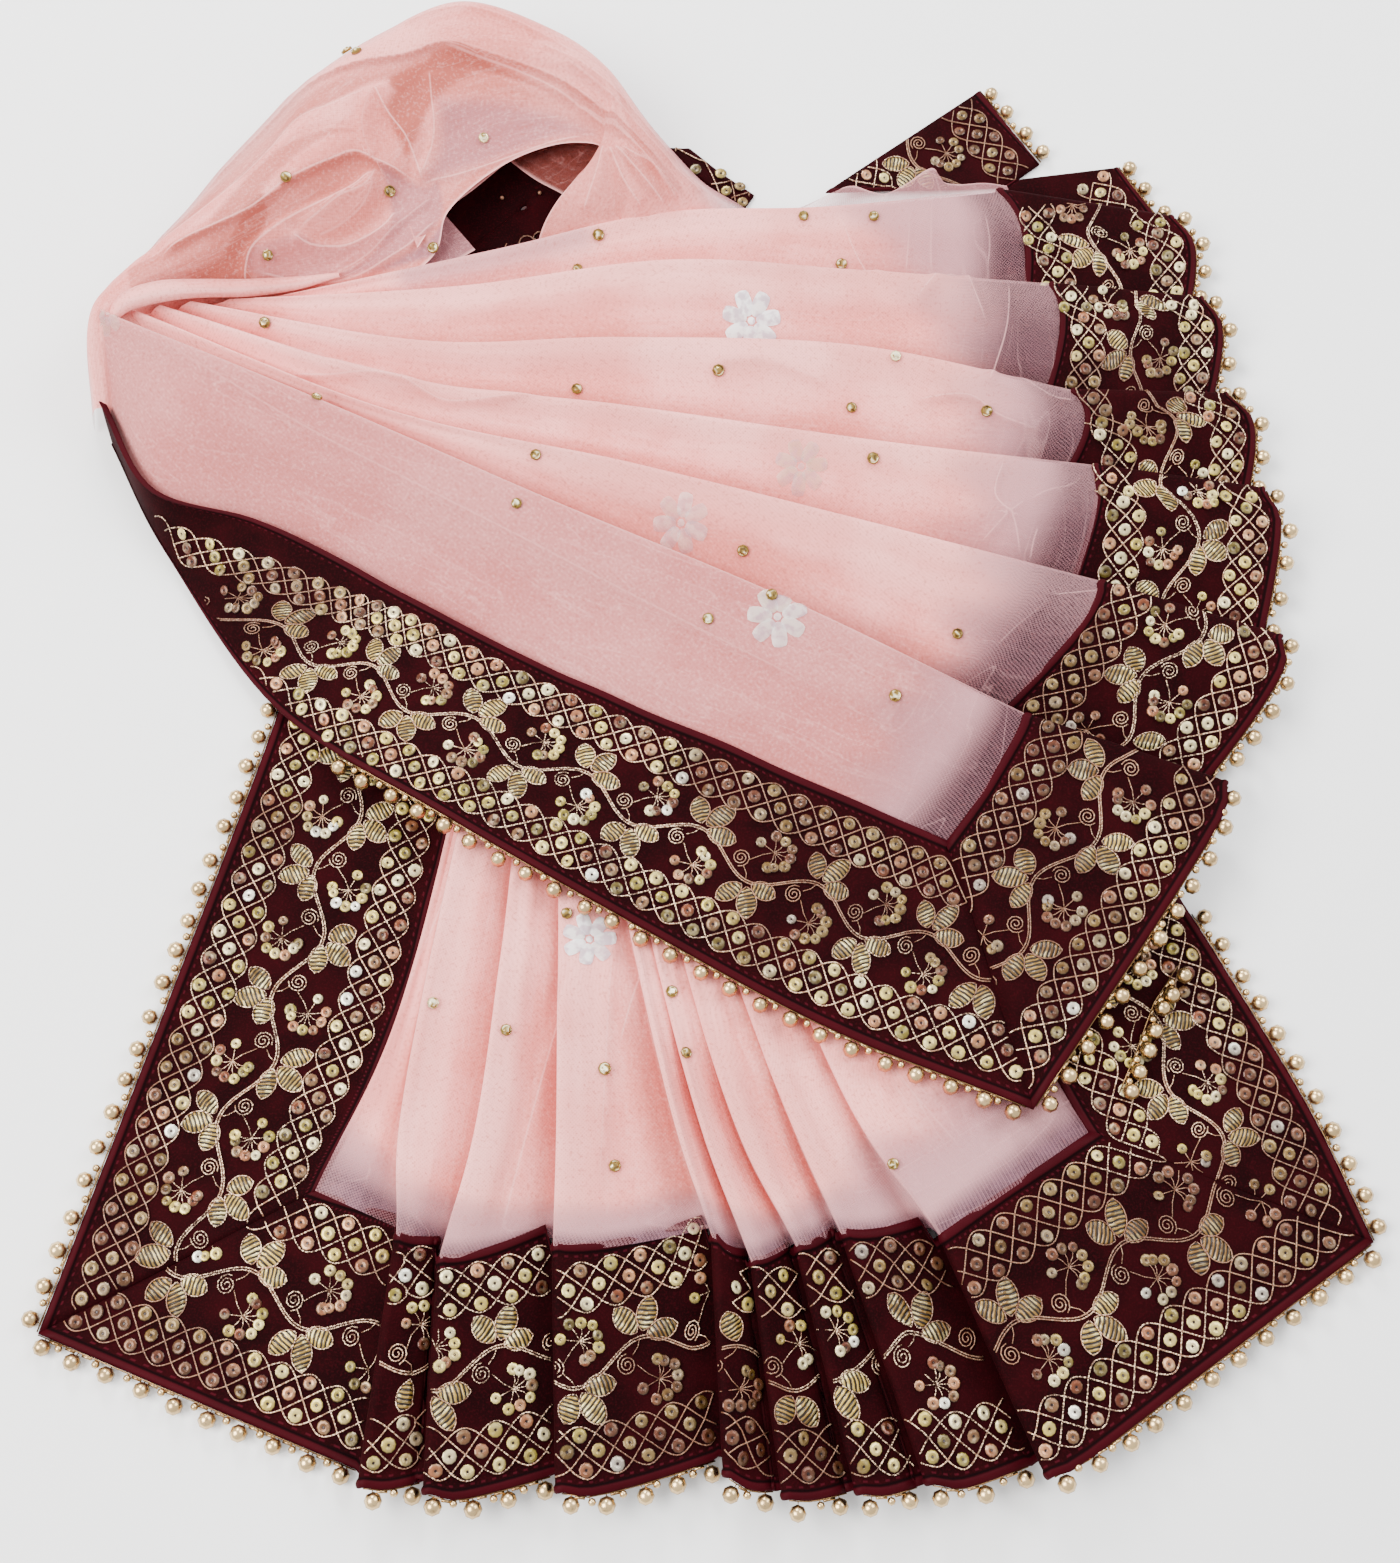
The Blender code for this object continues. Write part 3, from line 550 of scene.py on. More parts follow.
# %% Walk through the pleats
NOSE_RADIUS = 1.9
NOSE_ANGLES = (-90, -55, -20, 10, 40, 65, 90)
VALLEY_ANGLES = (-90, -45, 0, 45, 90)
PANEL_STEPS = (0.04, 0.1, 0.18, 0.28, 0.4, 0.52, 0.64, 0.76, 0.88)
STEP_CLEARANCE = 1.7
VALLEY_BOTTOM = 1.25
FALL_POWER = 1.1
SEAM_GAP = 0.65
SEAM_LAP = 0.3
SEAM_WAVE = 0.45
SEAM_WAVE_LENGTH = 8
Panel = namedtuple("Panel", "tree hem ways widths start length")
NARROW_PANEL = 60
cuts = {}


def fold_line(fold, share):
    plan = Vector(fold.seam).lerp(Vector(fold.hem), share)
    return plan, mix(fold.crest, fold.hem_crest, share)


def inward(fold):
    return (Vector(fold.seam) - Vector(fold.hem)).normalized()


def visible_end(fold, share):
    return fold_line(fold, share)[0] + inward(fold) * fold.back


def fold_turn(centre, aim, bottom, angles):
    points = []
    for angle in angles:
        turn = radians(angle)
        plan = centre + aim * (NOSE_RADIUS * cos(turn))
        points.append(raised(plan, bottom + NOSE_RADIUS * (1 + sin(turn))))
    return points


# How far each panel bows out between its folds, and how far its hem's corner is rounded, in fold order.
BOWS = {}
for folds, bows in ((UPPER_FOLDS, ((0, 0), (5.5, 4), (5, 4.5), (6.5, 5), (3.5, 5), (5, 4), (2, 4), (0, 0))),
                    (LOWER_FOLDS, ((0, 0), (1, 1.5), (2, 2.5), (2.5, 2), (2, 2), (1, 1), (1, 1.5), (2, 2.5), (0, 2.5),
                                   (0, 0)))):
    BOWS.update(zip(folds, bows))


def bow_of(fold, share, part, distance):
    """How far a panel lies beyond the straight line, at a part of its way down and a distance from its fold."""
    bow, corner = BOWS[fold]
    bowed = bow * mix(1, 0.65, share) * sin(pi * min(max(part, 0), 1) ** 0.7)
    return bowed - corner * share ** 5 * exp(-(max(distance, 0) / 5) ** 2)


def panel_run(fold, following, share, last):
    """Where a panel starts, its direction, the length that shows, and its fall."""
    start, crest = fold_line(fold, share)
    end, end_z, hidden = (*fold_line(following, share), 0) if last else (
        visible_end(following, share), VALLEY_BOTTOM, following.tuck)
    forward = (end - start).normalized()
    if isinstance(fold, Pleat):
        start = start + forward * NOSE_RADIUS
    run = (end - start).length

    def at(distance):
        fall = (distance / (run + hidden)) ** (1 if last else FALL_POWER)
        plan = start + forward * distance - inward(fold) * bow_of(fold, share, distance / run, distance)
        loose = 0.45 * waver(plan.x, plan.y, 9) * sin(pi * min(max(distance / run, 0), 1))
        return raised(plan, mix(crest, end_z, fall) + loose)

    return start - inward(fold) * bow_of(fold, share, 0, 0), forward, crest, run, at


def panel_column(fold, following, after, share):
    """The panel's points at one row, and how many of them show."""
    last = after is None
    start, forward, crest, run, at = panel_run(fold, following, share, last)
    points = []
    if isinstance(fold, Pleat):
        points += fold_turn(start, -forward, crest - 2 * NOSE_RADIUS, NOSE_ANGLES)
    else:
        points.append(at(0))
    points += [at(run * part) for part in PANEL_STEPS]
    if last:
        return points + [at(run)], len(points) + 1
    points.append(at(run - 2 * STEP_CLEARANCE))
    next_plan, _ = fold_line(following, share)
    after_plan = fold_line(after, share)[0] if isinstance(after, Mitre) else visible_end(after, share)
    onward = (after_plan - next_plan).normalized()
    under = next_plan + inward(following) * (following.back * share)
    points.append(raised(under - onward * STEP_CLEARANCE, at(run - STEP_CLEARANCE).z))
    shown = len(points)
    valley = under + onward * (following.tuck - NOSE_RADIUS)
    return points + fold_turn(valley, onward, VALLEY_BOTTOM, VALLEY_ANGLES), shown


def surface_of(columns):
    points = [tuple(point) for column in columns for point in column]
    return BVHTree.FromPolygons(points, grid_faces(len(columns), len(columns[0])))


def panel_from(columns, start, length):
    """A panel to embroider: its surface, its hem line and the way in from it."""
    hem = [column[-1].xy for column in columns]
    seam = [column[0].xy for column in columns]
    way = (hem[-1] - hem[0]).normalized()
    across = Vector((-way.y, way.x))
    middle = len(columns) // 2
    across = -across if (seam[middle] - hem[middle]).dot(across) < 0 else across
    width = (seam[middle] - hem[middle]).dot(across)
    width = BORDER_WIDTH if width < NARROW_PANEL else width
    return Panel(surface_of(columns), hem, [across] * len(hem), [width] * len(hem), start, length)


def border_end(name, node, folds):
    """The whole pleated end as one sheet, and its panels."""
    by_row = []
    shown = []
    lap = inward(folds[1]) * SEAM_LAP
    for share, _ in BORDER_ROWS:
        row = []
        shown = []
        for fold, following, after in zip(folds, folds[1:], folds[2:] + (None,)):
            points, count = panel_column(fold, following, after, share)
            first = len(row) + (NOSE_ANGLES.index(40) if isinstance(fold, Pleat) else 0)
            shown.append((first, len(row) + count))
            row += points
        pull = (1 - share) ** 4
        waves = [1 + waver(point.x, point.y, SEAM_WAVE_LENGTH) for point in row]
        by_row.append([point + raised(lap, 0) * (pull * (1 + SEAM_WAVE / SEAM_LAP * wave))
                       for point, wave in zip(row, waves)])
    grid = [list(column) for column in zip(*by_row)]
    along = running_lengths([column[len(BORDER_ROWS) // 2] for column in grid])
    cuts[name] = cut_places(along)
    piece, face = thick_sheet(name, grid, HALVES, cuts[name], VELVET)
    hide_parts(node)
    columns = columns_of(face, len(BORDER_ROWS))
    panels = [panel_from(columns[a:b], along[a], along[b - 1] - along[a]) for a, b in shown]
    print(name, "cut", round(along[-1]), "mm long,", len(panels), "panels")
    return piece, panels, along[-1]


lower_end, lower_panels, lower_length = border_end("border_lower_end", "velvet_lower_end", LOWER_FOLDS)
upper_end, upper_panels, upper_length = border_end("border_upper_end", "velvet_upper_end", UPPER_FOLDS)

# %% [markdown]
# ## The side strips
# The other strips lie along the cloth between a seam and a hem. They meet the ends in a mitre, which a maker folds and
# presses. The diagonal strip leans over the heap, so its own height table carries it down the slope.

# %% Side strips
MITRE_GAP = 0.05
STRIP_COLUMNS = 70
HEM_STEPS = 90


def strip_panel(strip, columns, length):
    """The same for a strip whose hem and seam are curves."""
    hem, seam = ([Vector(tuple(smooth_curve(line, share))[:2]) for share in even_shares(HEM_STEPS + 1)]
                 for line in (strip.hem, strip.seam))
    fixed = strip.name == UPPER_CORNER.name
    ways = []
    widths = []
    for k, point in enumerate(hem):
        along = hem[min(k + 1, HEM_STEPS)] - hem[max(k - 1, 0)]
        way = Vector((-along.y, along.x)).normalized()
        nearest = min(seam, key=lambda other: (other - point).length)
        ways.append(-way if way.dot(seam[HEM_STEPS // 2] - hem[HEM_STEPS // 2]) < 0 else way)
        widths.append(BORDER_WIDTH if fixed else (nearest - point).length)
    return Panel(surface_of(columns), hem, ways, widths, 0, length)


def side_strip(strip, columns=STRIP_COLUMNS, mitred=True):
    grid = []
    for share in even_shares(columns):
        inner = raised(smooth_curve(strip.seam, share), smooth_value(strip.seam_z, share))
        outer = raised(smooth_curve(strip.hem, share), smooth_value(strip.hem_z, share))
        lap = SEAM_LAP + SEAM_WAVE * (1 + waver(inner.x, inner.y, SEAM_WAVE_LENGTH))
        inner = inner - (outer - inner).normalized() * lap
        column = []
        for place, _ in BORDER_ROWS:
            point = inner.lerp(outer, place)
            point.z += 0.4 * waver(point.x, point.y, 12) * sin(pi * place)
            column.append(point)
        grid.append(column)
    if mitred:
        for j, point in enumerate(grid[-1]):
            grid[-1][j] = point + (grid[-2][j] - point).normalized() * MITRE_GAP
    along = running_lengths([column[-1] for column in grid])
    places = cut_places(along)
    cuts[strip.name] = places if mitred else plan_places(grid)
    piece, face = thick_sheet(strip.name, grid, HALVES, places, VELVET)
    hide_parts(strip.node)
    print(strip.name, "shows", round(along[-1]), "mm")
    return piece, strip_panel(strip, columns_of(face, len(BORDER_ROWS)), along[-1])


strips = {strip.name: side_strip(strip) for strip in (LOWER_LEFT, LOWER_RIGHT, UPPER_SIDE)}
strips[UPPER_CORNER.name] = side_strip(UPPER_CORNER, 14, mitred=False)


# %% [markdown]
# ## Net
# Net shows its layers: where many lie on each other it is a full peach, and a single layer over velvet looks grey. A
# fold seen along its edge is given a painted highlight, a pale line. Each piece of net carries its tones at every
# point:
# how much painted shade it has where it lies under a fold or in a hollow, how much painted highlight, how sheer and
# how dim it is, how far it is from a crease's edge and how bright the painted highlight on that edge is. One material
# reads them all.

# %% Net finish
NET_PEACH = (0.98, 0.37, 0.34)
NET_ROSE = (0.8, 0.235, 0.205)
NET_SHADE_AND_WEAVE = (0.34, 0.066, 0.045)
NET_HIGHLIGHT_AND_GRAIN = (0.98, 0.52, 0.5)
NET_SINGLE = (0.54, 0.275, 0.32)
NET_DIM = (0.27, 0.115, 0.145)
MESH_PITCH = 1.3
TONES = ("deep", "glow", "sheer", "dim", "beside", "bright")
FAR_FROM_EDGE = 3
EDGE_HALF = 0.42
SINGLE_COVER = 0.13


def net_material():
    """A single layer of net hides little of its ground, and where it is painted paler it hides more."""
    shader = Shader("peach_net", NET_PEACH, 0.7)
    along, across = shader.cloth_place()
    lane = shader.attribute("lane")
    turn = tau / MESH_PITCH
    mesh = (along * turn).math("SINE") * (across * turn).math("SINE")
    cloud = shader.noise(22, 3)
    fleck = shader.noise(900, 2)
    drift = shader.noise(1, 3, shader.point(lane * 3.4, along * 0.009))
    streak = 1 - (drift - 0.5).math("ABSOLUTE").smooth(0, 0.012)
    edge = 1 - shader.attribute("beside").math("ABSOLUTE").smooth(EDGE_HALF * 0.3, EDGE_HALF * 1.2)
    sheer = shader.attribute("sheer")
    colour = shader.blend((cloud + drift * 0.5).smooth(0.6, 0.92), NET_PEACH, NET_ROSE)
    colour = shader.blend(sheer, colour, NET_SINGLE)
    # Painted shade where the net lies under a fold or in a hollow.
    colour = shader.blend(shader.attribute("deep"), colour, NET_SHADE_AND_WEAVE)
    colour = shader.blend(shader.attribute("dim"), colour, NET_DIM)
    wrinkle = shader.noise(1, 1, shader.point(lane * 0.8, along * 0.075))
    wrinkles = 1 - (wrinkle - 0.5).math("ABSOLUTE").smooth(0, 0.012)
    # Painted highlights: the fold noses and crease edges, faint lengthwise fold lines and, where the net is sheer, its
    # crinkles are made paler. Pale flecks of the weave's grain are added with them.
    highlight_and_grain = shader.attribute("glow").math("MAXIMUM", edge * shader.attribute("bright") * 0.7)
    grain = (1 - fleck).smooth(0.5, 0.72)
    highlight_and_grain = highlight_and_grain.math("MAXIMUM", streak * 0.12 + wrinkles * sheer * 0.26 + grain * 0.17)
    colour = shader.blend(highlight_and_grain, colour, NET_HIGHLIGHT_AND_GRAIN)
    # Darker flecks and the mesh of the weave.
    colour = shader.blend(fleck.smooth(0.5, 0.8) * 0.42 + mesh.smooth(0.1, 0.9) * 0.2, colour, NET_SHADE_AND_WEAVE)
    cover = 1 - sheer * (1 - SINGLE_COVER) * (1 - highlight_and_grain * 0.55)
    cover = cover + (mesh * 0.5 + fleck - 0.5) * sheer * 0.36
    shader.relief(drift + mesh * 0.02 + fleck * 0.03, 0.4, 0.0016)
    shader.give(Base_Color=colour, Roughness=0.78 - highlight_and_grain * 0.15, Alpha=cover, Sheen_Weight=0.1,
                Sheen_Roughness=0.5, Sheen_Tint=(1, 0.8, 0.8, 1), Specular_IOR_Level=0.2)
    return shader.material


NET = net_material()
print("net:", NET.name)

# %% Creases and shades
# A crease is the edge of an upper layer: its height, how far the layer slopes away on its left and on its right,
# how strong the painted highlight on its edge is and how much painted shade the cloth beside it gets. A shade is a
# soft patch along a path, and a region is one inside a closed line: the tone that it changes, how strongly, and how
# soft its edge is.
Crease = namedtuple("Crease", "points height left right glow deep")
Shade = namedtuple("Shade", "points width tone value")
Region = namedtuple("Region", "points tone value soft")
LEAST_SLOPE = 1.5
PAINTED_SHADE_WIDTH = 7


def fine_path(points, step=3):
    """A smooth path through points, as an array of places in plan."""
    count = max(int(path_length(points) / step), 2)
    return np.array([tuple(smooth_curve(points, k / count))[:2] for k in range(count + 1)])


def beside_path(plans, path):
    """Distance from each plan point to the path, negative on its right, and how far along it is."""
    best = np.full(len(plans), 1e9)
    signed = np.zeros(len(plans))
    share = np.zeros(len(plans))
    for k, (a, b) in enumerate(zip(path, path[1:])):
        run = b - a
        length2 = max(float(run @ run), 1e-9)
        at = np.clip(((plans - a) @ run) / length2, 0, 1)
        offset = plans - (a + at[:, None] * run)
        distance = np.hypot(offset[:, 0], offset[:, 1])
        side = np.sign(run[0] * offset[:, 1] - run[1] * offset[:, 0])
        nearer = distance < best
        best[nearer] = distance[nearer]
        signed[nearer] = (distance * side)[nearer]
        share[nearer] = ((k + at) / (len(path) - 1))[nearer]
    return signed, share


def add_crease(points, tones, crease, fade=0.15):
    """Raises the points along a crease, with a steep step on its narrow side, paints a highlight on its edge and shade
    below the step.
    """
    signed, share = beside_path(points[:, :2], fine_path(crease.points))
    width = np.maximum(np.where(signed > 0, crease.left, crease.right), LEAST_SLOPE)
    upper = np.where(crease.left > crease.right, signed, -signed)
    ends = np.clip(share / fade, 0, 1) * np.clip((1 - share) / fade, 0, 1)
    ends = ends * ends * (3 - 2 * ends)
    points[:, 2] += crease.height * np.exp(-(signed / width) ** 2) * ends
    nearer = np.abs(signed) < np.abs(tones[:, 4])
    tones[nearer, 4] = np.clip(upper - 0.2, -FAR_FROM_EDGE, FAR_FROM_EDGE)[nearer]
    tones[nearer, 5] = (crease.glow * ends * (np.abs(signed) < 2.4))[nearer]
    below = np.where(upper < -0.3, np.exp(upper / PAINTED_SHADE_WIDTH), 0) * ends
    tones[:, 0] = np.maximum(tones[:, 0], crease.deep * below)


def add_shade(points, tones, shade):
    signed, _ = beside_path(points[:, :2], fine_path(shade.points))
    column = TONES.index(shade.tone)
    tones[:, column] = np.maximum(tones[:, column], shade.value * np.exp(-(signed / shade.width) ** 2))


def smooth_step(low, high, values):
    share = np.clip((values - low) / (high - low), 0, 1)
    return share * share * (3 - 2 * share)


def inside(plans, path):
    """Which plan points lie inside a closed path."""
    found = np.zeros(len(plans), bool)
    for a, b in zip(path, path[1:]):
        crosses = (a[1] > plans[:, 1]) != (b[1] > plans[:, 1])
        reach = a[0] + (plans[:, 1] - a[1]) * (b[0] - a[0]) / ((b[1] - a[1]) or 1e-9)
        found ^= crosses & (plans[:, 0] < reach)
    return found


def add_region(points, tones, region):
    """Tints what lies inside a closed line, softly near it. A value below zero clears the tint."""
    path = fine_path(region.points + region.points[:1], 4)
    signed, _ = beside_path(points[:, :2], path)
    far = np.where(inside(points[:, :2], path), np.abs(signed), -np.abs(signed))
    amount = smooth_step(-0.35 * region.soft, region.soft, far)
    column = TONES.index(region.tone)
    if region.value < 0:
        tones[:, column] *= 1 + region.value * amount
    else:
        tones[:, column] = np.maximum(tones[:, column], region.value * amount)


def blank_tones(first_four):
    """The tones of a sheet before it is creased: no edge is near."""
    tones = np.zeros((len(first_four), len(TONES)))
    tones[:, :4] = first_four
    tones[:, 4] = FAR_FROM_EDGE
    return tones


def grid_lengths(grid, axis):
    """How far each point of a grid lies from the first one in its line."""
    steps = np.linalg.norm(np.diff(grid, axis=axis), axis=2)
    return np.cumsum(np.insert(steps, 0, 0, axis=axis), axis=axis)


def net_sheet(name, points, rows, places, tones, lanes, material=NET):
    """One sheet of net, with its UV map, its tones and its lanes."""
    count = len(points) // rows
    piece = new_piece(name, [Vector(tuple(point)) for point in points], grid_faces(rows, count), material)
    lay_uv(piece, places)
    for k, tone in enumerate(TONES):
        mark(piece, tone, tones[:, k])
    mark(piece, "lane", lanes)
    print(name, len(piece.data.polygons), "faces")
    return piece


print("crease tools ready")

# %% Folds of the net
# The path of each fold from the turn of the cloth to its seam, its height at both ends, the height of the panel
# that runs in under it, how far behind it that panel's seam lies, and how far from the seam the net is sheer.
# The outermost folds lie on the seams of the side strips.
NetFold = namedtuple("NetFold", "path crest_root crest foot back sheer")
LOWER_NET = (
    NetFold(LOWER_LEFT.seam, 3, 3, 3, 0, 34),
    NetFold(((-76, 48), (-101, -105), (-102, -158)), 15, 15, 4, 6, 22),
    NetFold(((-62, 42), (-74, -105), (-87, -166)), 18, 18, 5, 7, 24),
    NetFold(((-52, 37), (-49, -105), (-49, -162)), 19, 19, 6, 8, 14),
    NetFold(((-44, 34), (-13, -105), (4, -159)), 19, 19, 7, 8, 18),
    NetFold(((-38, 31), (-5, -105), (17, -167)), 19, 19, 10, 4, 20),
    NetFold(((-30, 27), (7, -108), (32, -162)), 19, 19, 10, 3, 15),
    NetFold(((-20, 23), (26, -108), (47, -158)), 19, 19, 10, 3, 18),
    NetFold(((0, 13), (48, -108), (80, -159)), 20, 20, 8, 8, 46),
    NetFold(LOWER_RIGHT.seam, 12.5, 12.5, 12.5, 0, 46),
)
UPPER_NET = (
    NetFold(((-163, 197), (-80, 221.5), (-16, 241), (50, 248), (120, 258)), 20, 2, 0, 0, 120),
    NetFold(((-165, 194), (-80, 218), (-16, 237), (50, 242), (120, 252)), 26, 13, 5, 6, 80),
    NetFold(((-178, 190.5), (-92, 199), (-12, 213), (60, 211), (138, 207)), 31, 16, 5, 8, 62),
    NetFold(((-192, 187), (-105, 173), (-30, 177), (60, 176), (143, 159)), 35, 18, 5, 9, 52),
    NetFold(((-203, 184), (-112, 156), (-30, 147), (68, 134), (149, 126)), 37, 20, 6, 9, 56),
    NetFold(((-213, 181), (-116, 141), (-28, 122), (60, 100), (148, 77)), 39, 23, 7, 9, 60),
    NetFold(((-224, 178), (-139, 142), (-55, 104), (32, 66), (117, 23)), 44, 28, 8, 11, 34),
    NetFold(UPPER_SIDE.seam, 20, 18.5, 18, 0, 30),
)
PRESSED_HEIGHT = 13.8
print("net folds:", len(LOWER_NET), "+", len(UPPER_NET))


def beside_line(plan, start, end):
    """How far a place lies to the right of the line from start to end."""
    along = (Vector(end) - Vector(start)).normalized()
    offset = Vector((plan[0], plan[1])) - Vector(start)
    return offset.dot(Vector((along.y, -along.x)))


def lower_line(fold, share):
    """A fold of the lower end: it lies pressed under the upper end and is free beyond its diagonal hem."""
    plan = smooth_curve(fold.path, share)
    free = ease(24, 50, beside_line(plan, UPPER_SIDE.hem[3], UPPER_SIDE.hem[-1]))
    crest = mix(min(fold.crest, PRESSED_HEIGHT), fold.crest, free)
    return plan, crest, mix(min(fold.foot + 2, crest), fold.foot, free)


def upper_line(fold, share):
    plan = smooth_curve(fold.path, share)
    crest = mix(fold.crest_root, fold.crest, share)
    return plan, crest, min(crest, mix(crest * 0.72, fold.foot, ease(0.2, 1, share)))


# %% A fan of net
NET_NOSE = 1.5
NET_NOSE_ANGLES = (-75, -40, -5, 30, 60, 90)


def fan_row(folds, line, share, steps, border):
    """Points across the fan at one row, each with its panel, its place on it and its tones."""
    row = []
    last = len(folds) - 2
    for k in range(len(folds) - 1):
        following = folds[k + 1]
        plan, crest, _ = line(folds[k], share)
        end, _, foot = line(following, share * (1 - following.back / path_length(following.path)))
        way = end - plan
        width = max(way.length, 0.5)
        way = way.normalized()
        radius = min(NET_NOSE, width * 0.22)
        if k < last:
            end = end + way * (radius * 0.5)
        foot = min(foot, crest)
        if k:
            centre = plan + way * radius
            for angle in NET_NOSE_ANGLES:
                turn = radians(angle)
                height = crest - radius + radius * sin(turn)
                # The nose of a fold, seen along its edge, gets a painted highlight.
                glow = exp(-((angle - 20) / 38) ** 2)
                row.append((raised(centre - way * (radius * cos(turn)), height), k, 0, glow))
            plan = centre
        for step in range(0 if k == 0 else 1, steps + 1):
            u = step / steps
            flat = plan.lerp(end, u)
            flat -= inward(border[k]) * (bow_of(border[k], 0, u, 0) * ease(0.7, 1, share))
            fall = u ** 1.12
            soft = sin(pi * u) * min(width / 16, 1)
            swell = soft * (0.55 * sin(u * 9 + k * 1.7 + share * 4) + 0.9 * waver(flat.x, flat.y, 17))
            row.append((raised(flat, mix(crest, foot, fall) + swell), k, u, 0))
    return row


def depths(folds, line, shares):
    """How far along each fold each row lies from the seam, in millimetres."""
    table = []
    for fold in folds:
        plans = [line(fold, share)[0] for share in shares]
        steps = [(b - a).length for a, b in zip(plans, plans[1:])] + [0]
        table.append(np.cumsum(steps[::-1])[::-1])
    return np.array(table).T


def fan_net(name, node, folds, line, rows, steps, creases, shades=(), first=0, drop=0, material=NET,
            front_dim=0, border=()):
    """A fan as one sheet of net. drop lowers it, for the layer folded beneath."""
    shares = [mix(first, 1, share) for share in even_shares(rows)]
    grid = [fan_row(folds, line, share, steps, border) for share in shares]
    count = len(grid[0])
    points = np.array([tuple(entry[0]) for row in grid for entry in row])
    panel = np.array([entry[1] for row in grid for entry in row])
    u = np.array([entry[2] for row in grid for entry in row])
    at_row = np.repeat(np.arange(rows), count)
    table = depths(folds, line, shares)
    depth = table[at_row, panel] * (1 - u) + table[at_row, panel + 1] * u
    tones = blank_tones(np.zeros((len(points), 4)))
    # Painted highlights on the fold noses and on the part of each panel next to its fold.
    tones[:, 1] = [0.62 * entry[3] for row in grid for entry in row]
    tones[:, 1] = np.maximum(tones[:, 1], 0.26 * (1 - smooth_step(0.05, 0.6, u)) * (panel < len(folds) - 2))
    sheer_at = np.array([fold.sheer for fold in folds])
    front = panel == len(folds) - 2
    reach = (sheer_at[panel] * (1 - u) + sheer_at[panel + 1] * u) * (1 + 1.8 * front_dim * front)
    uneven = 0.25 * np.sin(points[:, 0] / 7 + points[:, 1] / 5) + 0.2 * np.sin(points[:, 1] / 3.1)
    tones[:, 2] = 1 - smooth_step(0.22, 1.1 + 0.3 * uneven, depth / reach)
    # Painted shade on the far part of each panel, where it runs in under the next fold.
    tones[:, 0] = 0.6 * smooth_step(0.55, 1, u) * (panel < len(folds) - 2) * (1 - 0.5 * tones[:, 2])
    # The front panel is made dimmer and darker, except where it is sheer.
    front = front * (1 - tones[:, 2])
    tones[:, 3] = front_dim * front
    tones[:, 0] = np.maximum(tones[:, 0], 1.3 * front_dim * front)
    for crease in creases:
        add_crease(points, tones, crease)
    for shade in shades:
        add_shade(points, tones, shade)
    points[:, 2] = np.maximum(points[:, 2] - drop, 0.4)
    across = grid_lengths(points.reshape(rows, count, 3), 1)
    places = np.stack([table.max() - depth, across.ravel()], axis=1)
    piece = net_sheet(name, points, rows, places, tones, panel + u, material)
    mark(piece, "depth", depth)
    if node:
        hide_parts(node)
    return piece, places.reshape(rows, count, 2)


def flat_size(places):
    """The rectangle a sheet is cut from and its flat area, in metres."""
    places = np.array(places) * MM
    a = places[1:, 1:] - places[:-1, :-1]
    b = places[1:, :-1] - places[:-1, 1:]
    area = 0.5 * np.abs(a[..., 0] * b[..., 1] - a[..., 1] * b[..., 0]).sum()
    size = places.reshape(-1, 2).max(axis=0) - places.reshape(-1, 2).min(axis=0)
    return (float(size[1]), float(size[0])), float(area)


def declare(piece, places, with_pieces=()):
    flat, area = flat_size(places)
    list(with_pieces)
    print(piece.name, "flat", [round(value, 3) for value in flat], "area", round(area, 4))


